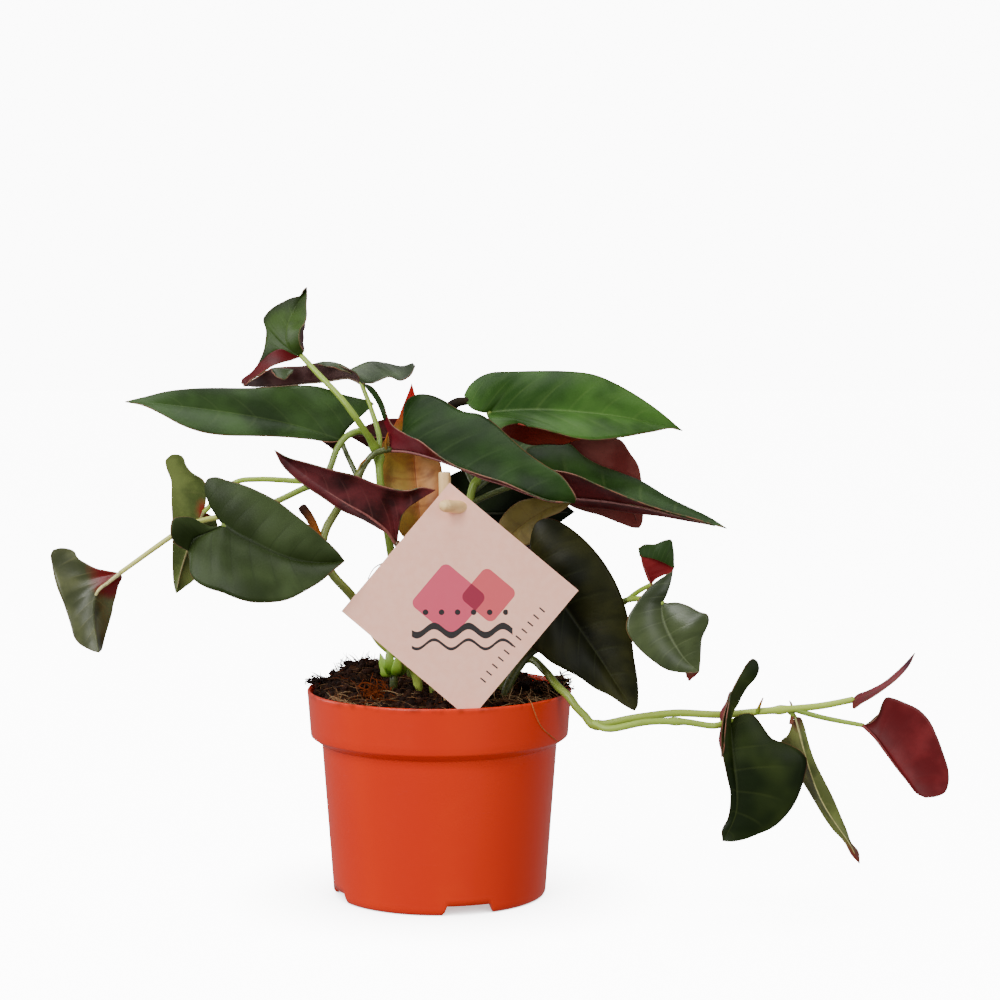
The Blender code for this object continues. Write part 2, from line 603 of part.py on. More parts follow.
def half_outline(half, share):
    """A half blade's flat inner and outer edges, as (lengths along, millimetres across).

    The outer edge runs from the lobe's end to the widest place and on to the tip. The inner
    edge runs from the lobe's end to the petiole and on along the midrib. Where the lobe is
    below 0 there is none, and the outer edge starts at the petiole and keeps pace with the midrib.
    """
    wide, width, back, out = half.widest, half.width, -half.lobe, half.reach * half.width
    rest = 1 - wide
    along = np.clip((share - SINUS_SHARE) / (1 - SINUS_SHARE), 0, 1)
    inner = np.stack([along, 0 * along], axis=1)
    if half.lobe < 0:
        start, lift, share = (0, 0), (back, out), along
    else:
        start, lift = (back, out), (back, out + 0.6 * (width - out))
        sinus = bezier([start, (0.9 * back, 0.12 * width), (0, 0)],
                       np.clip(share / SINUS_SHARE, 0, 1))
        inner = np.where((share < SINUS_SHARE)[:, None], sinus, inner)
    rear = bezier([start, lift, (wide - 0.55 * (wide - back), width), (wide, width)],
                  np.clip(share / REAR_SHARE, 0, 1))
    front = bezier([(wide, width), (wide + 0.45 * rest, width),
                    (1 - (0.12 + 0.33 * half.point) * rest, (0.60 - 0.48 * half.point) * width),
                    (1, 0)],
                   np.clip((share - REAR_SHARE) / (1 - REAR_SHARE), 0, 1))
    return inner, np.where((share < REAR_SHARE)[:, None], rear, front)


def half_grid(leaf, half, side, rows, columns):
    """Points of a half blade in millimetres, a grid of rows along and columns across.

    A flat point (x, y) goes to the midrib's point at x, plus y times a direction that turns
    from sideways towards the top side by the fold, less the lobe's flare.
    """
    inner, outer = half_outline(half, np.linspace(0, 1, rows + 1))
    across_share = np.linspace(0, 1, columns + 1)[None, :, None]
    flat = inner[:, None] * (1 - across_share) + outer[:, None] * across_share
    x, y = flat[..., 0], flat[..., 1]
    base, tip, bow = (np.array(place, float) for place in (leaf.base, leaf.tip, leaf.bow))
    knee = (base + tip) / 2 + bow
    ahead = np.clip(x, 0, 1)[..., None]
    rib = base * (1 - ahead) ** 2 + 2 * knee * ahead * (1 - ahead) + tip * ahead ** 2
    tangent = unit((knee - base) * (1 - ahead) + (tip - knee) * ahead)
    face = np.array(leaf.face, float) * (1 - ahead) + np.array(leaf.face_tip, float) * ahead
    normal = unit(face - tangent * (face * tangent).sum(-1, keepdims=True))
    across = np.cross(normal, tangent)
    back = np.minimum(x, 0)[..., None] * np.linalg.norm(tip - base)
    droop = math.radians(leaf.droop)
    rib = rib + back * (tangent * math.cos(droop) + normal * math.sin(droop) - half.lean * across)
    lobe = np.clip(-x / max(half.lobe, 0.01), 0, 1)
    angle = np.radians(half.fold - half.flare * lobe)[..., None]
    return rib + y[..., None] * (side * across * np.cos(angle) + normal * np.sin(angle))


def build_blade(name, leaf, parts, materials):
    """A blade: two half grids that meet at the midrib, in triangles, given their thickness."""
    work = bmesh.new()
    for half, side in ((leaf.left, 1), (leaf.right, -1)):
        grid = half_grid(leaf, half, side, leaf.rows, leaf.columns) * MM
        dots = [[work.verts.new(point) for point in row] for row in grid]
        for row, following in zip(dots, dots[1:]):
            for i in range(leaf.columns):
                corners = [row[i], row[i + 1], following[i + 1], following[i]]
                work.faces.new(corners if side < 0 else corners[::-1])
    bmesh.ops.remove_doubles(work, verts=work.verts, dist=0.05 * MM)
    bmesh.ops.triangulate(work, faces=work.faces)
    mesh = bpy.data.meshes.new(name)
    work.to_mesh(mesh)
    work.free()
    blade = new_object(name, mesh, parts)
    wall = blade.modifiers.new("thickness", "SOLIDIFY")
    wall.thickness = BLADE_THICKNESS * MM
    wall.offset = 0
    apply_modifiers(blade)
    if leaf.tint not in materials:
        materials[leaf.tint] = new_material(leaf.tint)
    return dress(blade, materials[leaf.tint], 60)


def petiole_of(name):
    """The route whose end is the leaf's base."""
    for routes in STEMS.values():
        for route in routes:
            if route[2][-1] == LEAVES[name].base:
                return route
    raise ValueError(f"{name} has no petiole")


def clear_petiole(blade, cutters):
    """Cuts a small notch in the blade, so that its petiole's end stands clear of it."""
    start, end, places = petiole_of(blade.name)
    shares = len(places)
    near = places[-min(3, shares):]
    thick = end + (start - end) * (len(near) - 1) / (shares - 1)
    cutter = hide(tube(blade.name + "_notch", thick, end, near, cutters, grow=GAP))
    add_boolean(blade, "DIFFERENCE", cutter)
    return apply_modifiers(blade)


def bore_soil(soil, cutters):
    """Cuts plain holes in the soil for the stems, the sprout and the stake, and a slot for the card."""
    for name, routes in [*STEMS.items(), ("sprout", SPROUT)]:
        start, end, places = routes[0]
        share = 2 / (len(places) - 1)
        radius = start + (end - start) * share
        hide(tube(name + "_hole", start, radius, places[:3], cutters, grow=GAP))
    hide(tube("stake_hole", STAKE_RADIUS, STAKE_RADIUS, [STAKE_FOOT, STAKE_TOP], cutters,
              step=60, sides=12, grow=GAP))
    hide(card_block("card_slot", GAP, cutters))
    add_boolean(soil, "DIFFERENCE", cutters)
    return apply_modifiers(soil)


def build_grown(name, routes, material, parts):
    """One body from tubes along the routes."""
    branches = new_collection(name + "_branches")
    for i, (start, end, places) in enumerate(routes[1:]):
        tube(f"{name}_{i + 1}", start, end, places, branches)
    body = tube(name, *routes[0], parts)
    if len(routes) > 1:
        add_boolean(body, "UNION", branches)
        apply_modifiers(body)
    remove_collection(branches)
    return dress(body, material, 60)


def main():
    clear_scene()
    parts = new_collection("potted_syngonium")
    pot_cutters = new_collection("pot_cutters")
    label_cutters = new_collection("label_cutters")
    soil_cutters = new_collection("soil_cutters")
    notch_cutters = new_collection("notch_cutters")
    build_pot(parts, pot_cutters)
    soil = bore_soil(build_soil(parts), soil_cutters)
    dress(soil, new_material("soil"), 60)
    build_label(parts, label_cutters)
    green = new_material("stem")
    for name, routes in STEMS.items():
        build_grown(name, routes, green, parts)
    build_grown("sprout", SPROUT, new_material("sprout"), parts)
    build_grown("dry_sheath", DRY_SHEATH, new_material("sheath"), parts)
    materials = {}
    for name, leaf in LEAVES.items():
        blade = build_blade(name, leaf, parts, materials)
        clear_petiole(blade, notch_cutters)


if __name__ == "__main__":
    main()
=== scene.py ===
"""Looks for the potted syngonium: finer leaves, stems, peat, pot and label around the fixed frame.

Sizes and places are in millimetres, as in the part's source, and MM turns them into metres.
"""

import json
import logging
import math
from dataclasses import dataclass, field
from enum import Enum, IntEnum

import bmesh
import bpy
import numpy as np
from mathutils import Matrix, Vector


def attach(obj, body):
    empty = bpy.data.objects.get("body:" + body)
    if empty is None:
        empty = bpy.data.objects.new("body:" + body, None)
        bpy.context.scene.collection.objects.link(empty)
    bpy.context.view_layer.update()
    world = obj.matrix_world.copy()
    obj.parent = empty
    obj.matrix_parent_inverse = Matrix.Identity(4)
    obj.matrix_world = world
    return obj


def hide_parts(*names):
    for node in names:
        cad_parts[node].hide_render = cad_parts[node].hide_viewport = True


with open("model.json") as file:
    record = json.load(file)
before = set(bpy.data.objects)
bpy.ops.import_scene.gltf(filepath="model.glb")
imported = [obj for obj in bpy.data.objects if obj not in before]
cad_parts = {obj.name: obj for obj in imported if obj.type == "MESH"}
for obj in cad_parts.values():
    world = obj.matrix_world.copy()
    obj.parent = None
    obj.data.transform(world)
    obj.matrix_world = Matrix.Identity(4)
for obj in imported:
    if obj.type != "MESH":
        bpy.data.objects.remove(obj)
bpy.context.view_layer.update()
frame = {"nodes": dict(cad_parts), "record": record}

log = logging.getLogger("syngonium")
MM = 0.001
ROOT = "root"
WELD = 0.01          # millimetres
SINUS_SHARE = 0.3    # share of a blade's rows that run along the sinus
REAR_SHARE = 0.4     # share of them behind the widest place
EYE = np.array((27.5, -1250.0, 292.5))     # the camera, in millimetres
PITCH = math.radians(5.16)
LENS = 2777.8        # the camera's focal length, in the photograph's pixels
MIDDLE = 500         # the photograph's middle, across and down
VEINS = 6            # lateral veins on each half of a blade
VEIN_LEAN = 0.05     # how far forward a vein has come at the margin, as a share of the blade
LEAF_EDGE = (0.42, 0.15)    # millimetres from the margin where its colour starts and is full
NOISE_SUM = 1.6      # about what the layers of noise add up to
HASH_AXES = (73856093, 19349663, 83492791)    # large numbers that scatter a cell's place
HASH_SEED = 2654435761
HASH_ROUNDS = ((15, 2246822519), (13, 3266489917))
DOME = ((0.7, 0.0), (0.45, 0.75))    # a round end's two rings: how far out, and how wide

Array = np.ndarray
Trace = tuple[tuple[float, ...], ...]
Run = tuple[float, ...]      # places written one after another, without brackets of their own
Place = tuple[float, float, float]
Colour = int      # as a display shows it, 0xRRGGBB


def linear(colour: Colour) -> tuple[float, ...]:
    """Turns a colour from display numbers into linear ones.

    Each share of 255 goes through the display's curve: a straight line where it is dark, and
    above that the power 2.4 of (share + 0.055) / 1.055.

    Args:
        colour: The colour.

    Returns:
        Its red, green and blue, each from 0 to 1.
    """
    shares = [(colour >> shift & 255) / 255 for shift in (16, 8, 0)]
    return tuple(s / 12.92 if s <= 0.04045 else ((s + 0.055) / 1.055) ** 2.4 for s in shares)


def unit(vectors: Array) -> Array:
    """Returns the vectors at length 1."""
    return vectors / np.maximum(np.linalg.norm(vectors, axis=-1, keepdims=True), 1e-9)


def ease(values: Array) -> Array:
    """Returns 3v^2 - 2v^3 of the values held between 0 and 1."""
    values = np.clip(values, 0, 1)
    return values * values * (3 - 2 * values)


def sight(spots: Array) -> Array:
    """Lines of sight through places in the photograph, per millimetre of depth.

    A pixel's line leaves the eye along (a, cos p + b sin p, b cos p - sin p), where a and b are
    its offsets from the middle over the lens and p is the pitch. It is divided by its depth.

    Args:
        spots: Places (across, down), (n, 2).

    Returns:
        Directions, (n, 3), each with 1 for its depth.
    """
    a, b = (spots[:, 0] - MIDDLE) / LENS, (MIDDLE - spots[:, 1]) / LENS
    deep = math.cos(PITCH) + b * math.sin(PITCH)
    return np.stack([a / deep, 1 + 0 * a, (b * math.cos(PITCH) - math.sin(PITCH)) / deep], axis=-1)


def seen(spots: Array, depth: Array | list[float]) -> Array:
    """Returns the places at the depths on the lines of sight through the spots."""
    return EYE + sight(spots[:, :2]) * (np.asarray(depth, float) - EYE[1])[:, None]


def seen_run(run: Run) -> Array:
    """Returns the places of a run of (across, down, depth)."""
    spots = np.reshape(run, (-1, 3))
    return seen(spots, spots[:, 2])


def follow(points: Array, share: Array) -> Array:
    """Points at shares of the length of a smooth curve through the places.

    Between two places it is the cubic whose slope at each is that of its two neighbours.

    Args:
        points: The places, (n, 3).
        share: Shares, held between 0 and 1.

    Returns:
        The points, one for each share.
    """
    gaps = np.linalg.norm(np.diff(points, axis=0), axis=1)
    knots = np.concatenate([[0], np.cumsum(np.maximum(gaps, 1e-6))])
    slope = np.gradient(points, knots, axis=0)
    where = np.clip(share, 0, 1) * knots[-1]
    cell = np.clip(np.searchsorted(knots, where, side="right") - 1, 0, len(knots) - 2)
    step = (knots[cell + 1] - knots[cell])[:, None]
    t = (where - knots[cell])[:, None] / step
    return (points[cell] * (1 + 2 * t) * (1 - t) ** 2 + slope[cell] * step * t * (1 - t) ** 2
            + points[cell + 1] * t * t * (3 - 2 * t) - slope[cell + 1] * step * t * t * (1 - t))


def value_noise(points: Array, size: float, seed: int) -> Array:
    """Smooth noise: hashed numbers at the corners of cubes, mixed between them by an eased share.

    Args:
        points: Places, (..., 3), in millimetres.
        size: The cubes' side.
        seed: Which pattern.

    Returns:
        Values from -1 to 1, one for each place.
    """
    scaled = points / size + 1000.0
    cell = np.floor(scaled).astype(np.uint64)
    share = ease(scaled - np.floor(scaled))
    total = np.zeros(points.shape[:-1])
    for corner in np.ndindex(2, 2, 2):
        spot = cell + np.array(corner, np.uint64)
        key = np.uint64(seed * HASH_SEED)
        for axis, factor in enumerate(HASH_AXES):
            key = key ^ (spot[..., axis] * np.uint64(factor))
        for shift, factor in HASH_ROUNDS:
            key = (key ^ (key >> np.uint64(shift))) * np.uint64(factor) % np.uint64(2 ** 32)
        weight = np.prod(np.where(np.array(corner) > 0, share, 1 - share), axis=-1)
        total = total + weight * (key.astype(float) / 2 ** 31 - 1)
    return total


def layered_noise(points: Array, size: float, seed: int, layers: int = 4) -> Array:
    """Sums layers of noise, each half as large and half as strong as the one before.

    Args:
        points: Places, (..., 3), in millimetres.
        size: The first layer's size.
        seed: Which pattern.
        layers: How many.

    Returns:
        Values from about -1 to 1.
    """
    total = sum(value_noise(points, size / 2 ** i, seed + i) / 2 ** i for i in range(layers))
    return total / NOISE_SUM


# Meshes


@dataclass
class Patch:
    """A grid of points with its faces, its material slot, and what its material reads."""

    points: Array
    quads: Array
    slot: int = 0
    tone: Array | Place = (1.0, 1.0, 1.0)     # linear
    vein: Array | None = None     # (share along, share across)
    span: Array | None = None     # (millimetres along, millimetres from the margin)


def grid_quads(rows: int, columns: int) -> Array:
    """Makes the faces of a grid of points that are numbered row by row.

    Args:
        rows: Its rows.
        columns: The points in a row.

    Returns:
        The faces' corners, (n, 4).
    """
    index = np.arange(rows * columns).reshape(rows, columns)
    corners = [index[:-1, :-1], index[1:, :-1], index[1:, 1:], index[:-1, 1:]]
    return np.stack(corners, axis=-1).reshape(-1, 4)


def grid_patch(grid: Array, **values: object) -> Patch:
    """Makes a patch of a (rows, columns, 3) grid of points."""
    return Patch(grid.reshape(-1, 3), grid_quads(*grid.shape[:2]), **values)


def spread(value: Array | Place, count: int) -> Array:
    """Returns one colour for each of the points, from one colour or from as many."""
    value = np.asarray(value, float)
    return np.broadcast_to(value, (count, 3)) if value.ndim == 1 else value.reshape(count, 3)


def make_piece(name: str, patches: list[Patch], materials: list[bpy.types.Material],
               outward: bool = True) -> bpy.types.Object:
    """Puts patches into one mesh, with doubled points merged, and makes it an object.

    Args:
        name: The piece's name.
        patches: What it consists of.
        materials: Its slots.
        outward: Turns the faces of closed bodies outwards.

    Returns:
        The object, at the origin.
    """
    starts = np.cumsum([0] + [len(patch.points) for patch in patches])
    points = np.concatenate([patch.points for patch in patches]) * MM
    quads = np.concatenate([patch.quads + start for patch, start in zip(patches, starts)])
    slots = np.concatenate([np.full(len(patch.quads), patch.slot) for patch in patches])
    tones = np.concatenate([spread(patch.tone, len(patch.points)) for patch in patches])
    mesh = bpy.data.meshes.new(name)
    mesh.vertices.add(len(points))
    mesh.vertices.foreach_set("co", points.astype(np.float32).ravel())
    mesh.loops.add(quads.size)
    mesh.loops.foreach_set("vertex_index", quads.astype(np.int32).ravel())
    mesh.polygons.add(len(quads))
    mesh.polygons.foreach_set("loop_start", np.arange(0, quads.size, 4, dtype=np.int32))
    mesh.polygons.foreach_set("material_index", slots.astype(np.int32))
    mesh.update(calc_edges=True)
    for key in ("vein", "span"):
        maps = [getattr(patch, key) for patch in patches]
        if any(values is not None for values in maps):
            flat = [np.zeros((len(patch.points), 2)) if values is None else values.reshape(-1, 2)
                    for patch, values in zip(patches, maps)]
            corners = np.concatenate(flat)[quads.ravel()]
            layer = mesh.uv_layers.new(name=key)
            layer.data.foreach_set("uv", corners.astype(np.float32).ravel())
    tone = mesh.color_attributes.new("tone", "FLOAT_COLOR", "POINT")
    opaque = np.concatenate([tones, np.ones((len(tones), 1))], axis=1)
    tone.data.foreach_set("color", opaque.astype(np.float32).ravel())
    work = bmesh.new()
    work.from_mesh(mesh)
    bmesh.ops.remove_doubles(work, verts=work.verts, dist=WELD * MM)
    if outward:
        bmesh.ops.recalc_face_normals(work, faces=work.faces)
    work.to_mesh(mesh)
    work.free()
    for material in materials:
        mesh.materials.append(material)
    mesh.shade_smooth()
    piece = bpy.data.objects.new(name, mesh)
    bpy.context.scene.collection.objects.link(piece)
    return piece


def smooth_route(places: list[Place], step: float) -> Array:
    """Points about a step apart on a Catmull-Rom curve through the places.

    Between two places a point is their mix by the cubic of the four nearest places.

    Args:
        places: What the curve passes.
        step: The distance, in millimetres.

    Returns:
        The points, (n, 3).
    """
    spots = np.array(places, float)
    spots = np.concatenate([[2 * spots[0] - spots[1]], spots, [2 * spots[-1] - spots[-2]]])
    pieces = []
    for before, start, end, after in zip(spots, spots[1:], spots[2:], spots[3:]):
        count = max(2, round(float(np.linalg.norm(end - start)) / step))
        t = (np.arange(count) / count)[:, None]
        pieces.append(0.5 * (2 * start + (end - before) * t
                             + (2 * before - 5 * start + 4 * end - after) * t ** 2
                             + (3 * start - before - 3 * end + after) * t ** 3))
    return np.concatenate([*pieces, spots[-2:-1]])


def route_frame(route: Array) -> tuple[Array, Array, Array]:
    """Directions along a route: ahead, and two square to it.

    The first sideways direction is the route's flattest direction, less its part ahead.

    Args:
        route: The points, (n, 3).

    Returns:
        Three arrays of directions, (n, 3) each.
    """
    ahead = unit(np.gradient(route, axis=0))
    flattest = np.linalg.svd(route - route.mean(axis=0))[2][-1]
    side = unit(flattest - ahead * (ahead @ flattest)[:, None])
    return ahead, side, np.cross(ahead, side)


def sweep(route: Array, radii: Array, sides: int = 12, flat: float = 1.0, dome: float = 1.0,
          **values: object) -> Patch:
    """A closed tube with rounded or flat ends.

    point(i, a) = route(i) + radius(i) * (cos a * side(i) + flat * sin a * up(i)). Two rings at
    each end shrink to a point.

    Args:
        route: The tube's axis, (n, 3).
        radii: A radius for each of its points.
        sides: Points in a ring.
        flat: How thick the section is across, as a share of its width.
        dome: How round the ends are: 1 for domes, near 0 for sawn ends.
        **values: What else the patch holds; a tone has one colour for each route point.

    Returns:
        The tube.
    """
    ahead, side, up = route_frame(route)
    head, tail = dome * radii[0] * ahead[0], dome * radii[-1] * ahead[-1]
    (tip, _), (ring, lip) = DOME
    centres = np.concatenate([[route[0] - tip * head, route[0] - ring * head], route,
                              [route[-1] + ring * tail, route[-1] + tip * tail]])
    lip = 1 - (1 - lip) * dome
    widths = np.concatenate([[0, lip * radii[0]], radii, [lip * radii[-1], 0]])
    side, up = (np.pad(vectors, ((2, 2), (0, 0)), "edge") for vectors in (side, up))
    turn = np.linspace(0, math.tau, sides + 1)[None, :, None]
    circle = np.cos(turn) * side[:, None] + flat * np.sin(turn) * up[:, None]
    if "tone" in values:
        tone = np.pad(values["tone"], ((2, 2), (0, 0)), "edge")
        values["tone"] = np.repeat(tone, sides + 1, axis=0)
    return grid_patch(centres[:, None] + widths[:, None, None] * circle, **values)


def lathe(profile: Array, steps: int) -> Array:
    """Turns a profile round the Z axis: point(i, a) = (r cos a, r sin a, z).

    Args:
        profile: (n, 2) radii and heights.
        steps: Points in a ring.

    Returns:
        The grid, (n, steps + 1, 3), with its last column on its first.
    """
    turn = np.linspace(0, math.tau, steps + 1)[None, :]
    radius, height = profile[:, :1], profile[:, 1:]
    return np.stack([radius * np.cos(turn), radius * np.sin(turn), height + 0 * turn], axis=-1)


def dense(profile: list[tuple[float, float]], step: float) -> Array:
    """Adds points to a profile, so that none lie further apart than the step.

    Args:
        profile: Radii and heights.
        step: The greatest distance, in millimetres.

    Returns:
        The profile, (n, 2).
    """
    ends = np.array(profile, float)
    runs = [np.linspace(start, end, max(1, math.ceil(math.dist(start, end) / step)), endpoint=False)
            for start, end in zip(ends, ends[1:])]
    return np.concatenate([*runs, ends[-1:]])


# Shaders


class Value:
    """A number from a node, which takes part in Python expressions."""

    def __init__(self, nodes: "Nodes", socket: bpy.types.NodeSocket) -> None:
        """Wraps a socket.

        Args:
            nodes: The material's nodes.
            socket: The output that gives the number.
        """
        self.nodes = nodes
        self.socket = socket

    def __add__(self, other: "Number") -> "Value":
        """Returns the sum."""
        return self.nodes.math("ADD", self, other)

    def __sub__(self, other: "Number") -> "Value":
        """Returns the difference."""
        return self.nodes.math("SUBTRACT", self, other)

    def __rsub__(self, other: "Number") -> "Value":
        """Returns the difference from a number."""
        return self.nodes.math("SUBTRACT", other, self)

    def __mul__(self, other: "Number") -> "Value":
        """Returns the product."""
        return self.nodes.math("MULTIPLY", self, other)

    def __abs__(self) -> "Value":
        """Returns the size without its sign."""
        return self.nodes.math("ABSOLUTE", self)

    __radd__ = __add__
    __rmul__ = __mul__

    def most(self, other: "Number") -> "Value":
        """Returns the larger one."""
        return self.nodes.math("MAXIMUM", self, other)

    def ramp(self, low: float, high: float) -> "Value":
        """Adds an eased rise, or a fall where high is below low.

        Args:
            low: Where the result is 0.
            high: Where it is 1.

        Returns:
            The share, held between 0 and 1.
        """
        inputs = {"Value": self, "From Min": min(low, high), "From Max": max(low, high),
                  "To Min": float(low > high), "To Max": float(low < high)}
        settings = {"interpolation_type": "SMOOTHSTEP"}
        node = self.nodes.add("ShaderNodeMapRange", settings, inputs)
        return Value(self.nodes, node.outputs["Result"])


Number = Value | float


class Nodes:
    """A material or world and its nodes."""

    def __init__(self, name: str, world: bpy.types.World | None = None) -> None:
        """Makes the material with a Principled shader, or takes the world with its Background.

        Args:
            name: The material's name.
            world: The world, where there's no material.
        """
        self.material = world or bpy.data.materials.new(name)
        self.material.use_nodes = True
        self.tree = self.material.node_tree
        self.shader = self.tree.nodes["Background" if world else "Principled BSDF"]

    def feed(self, socket: bpy.types.NodeSocket, value: object) -> None:
        """Links a socket, or sets it where the value is a plain one.

        Args:
            socket: The input.
            value: A Value, an output socket, a number or a colour.
        """
        source = value.socket if isinstance(value, Value) else value
        if isinstance(source, bpy.types.NodeSocket):
            self.tree.links.new(source, socket)
        elif socket.type == "RGBA":
            socket.default_value = (*(linear(source) if isinstance(source, int) else source), 1.0)
        else:
            socket.default_value = source

    def add(self, kind: str, settings: dict[str, object] | None = None,
            inputs: dict[str | int, object] | None = None) -> bpy.types.Node:
        """Adds a node.

        Args:
            kind: The node's type.
            settings: Its own settings, set first.
            inputs: Values or links of its sockets.

        Returns:
            The node.
        """
        node = self.tree.nodes.new(kind)
        for key, value in (settings or {}).items():
            setattr(node, key, value)
        for key, value in (inputs or {}).items():
            self.feed(node.inputs[key], value)
        return node

    def math(self, operation: str, *terms: Number) -> Value:
        """Adds a Math node on the terms."""
        node = self.add("ShaderNodeMath", {"operation": operation}, dict(enumerate(terms)))
        return Value(self, node.outputs[0])

    def mix(self, share: Number, first: object, second: object) -> bpy.types.NodeSocket:
        """Mixes two colours by a share."""
        node = self.add("ShaderNodeMix", {"data_type": "RGBA"}, {0: share, 6: first, 7: second})
        return node.outputs[2]

    def place(self) -> bpy.types.NodeSocket:
        """Returns the Object coordinates, in metres."""
        return self.add("ShaderNodeTexCoord").outputs["Object"]

    def parts(self, vector: object) -> tuple[Value, Value, Value]:
        """Returns a vector's three numbers."""
        node = self.add("ShaderNodeSeparateXYZ", inputs={0: vector})
        return tuple(Value(self, socket) for socket in node.outputs)

    def uv(self, name: str) -> tuple[Value, Value]:
        """Returns the two numbers of one of the piece's UV maps."""
        return self.parts(self.add("ShaderNodeUVMap", {"uv_map": name}).outputs[0])[:2]

    def tone(self) -> bpy.types.NodeSocket:
        """Returns the colour that the piece's mesh holds at each point."""
        return self.add("ShaderNodeAttribute", {"attribute_name": "tone"}).outputs["Color"]

    def noise(self, size: float, detail: float = 2.0, vector: object = None,
              stretch: Place = (1, 1, 1)) -> Value:
        """Adds noise on Object coordinates or on another vector in metres.

        Args:
            size: The size of its spots, in millimetres.
            detail: How many finer layers it has.
            vector: What it reads.
            stretch: How much tighter it is along each axis.

        Returns:
            Values round 0.5.
        """
        if vector is None:
            vector = self.place()
        if stretch != (1, 1, 1):
            inputs = {"Vector": vector, "Scale": stretch}
            vector = self.add("ShaderNodeMapping", inputs=inputs).outputs[0]
        inputs = {"Vector": vector, "Scale": 1000 / size, "Detail": detail}
        return Value(self, self.add("ShaderNodeTexNoise", inputs=inputs).outputs[0])

    def relief(self, height: Value, distance: float, strength: float = 1.0) -> bpy.types.NodeSocket:
        """Adds a Bump node."""
        inputs = {"Height": height, "Distance": distance * MM, "Strength": strength}
        return self.add("ShaderNodeBump", inputs=inputs).outputs[0]

    def finish(self, colour: object, roughness: Number, normal: object = None,
               **constants: float) -> bpy.types.Material:
        """Feeds the shader and returns the material.

        Args:
            colour: The base colour.
            roughness: The roughness.
            normal: A Bump node's output.
            **constants: Numbers set on the shader's own sockets, spaces written as underscores.

        Returns:
            The material.
        """
        self.feed(self.shader.inputs["Base Color"], colour)
        self.feed(self.shader.inputs["Roughness"], roughness)
        if normal is not None:
            self.feed(self.shader.inputs["Normal"], normal)
        for key, value in constants.items():
            self.shader.inputs[key.replace("_", " ")].default_value = value
        return self.material


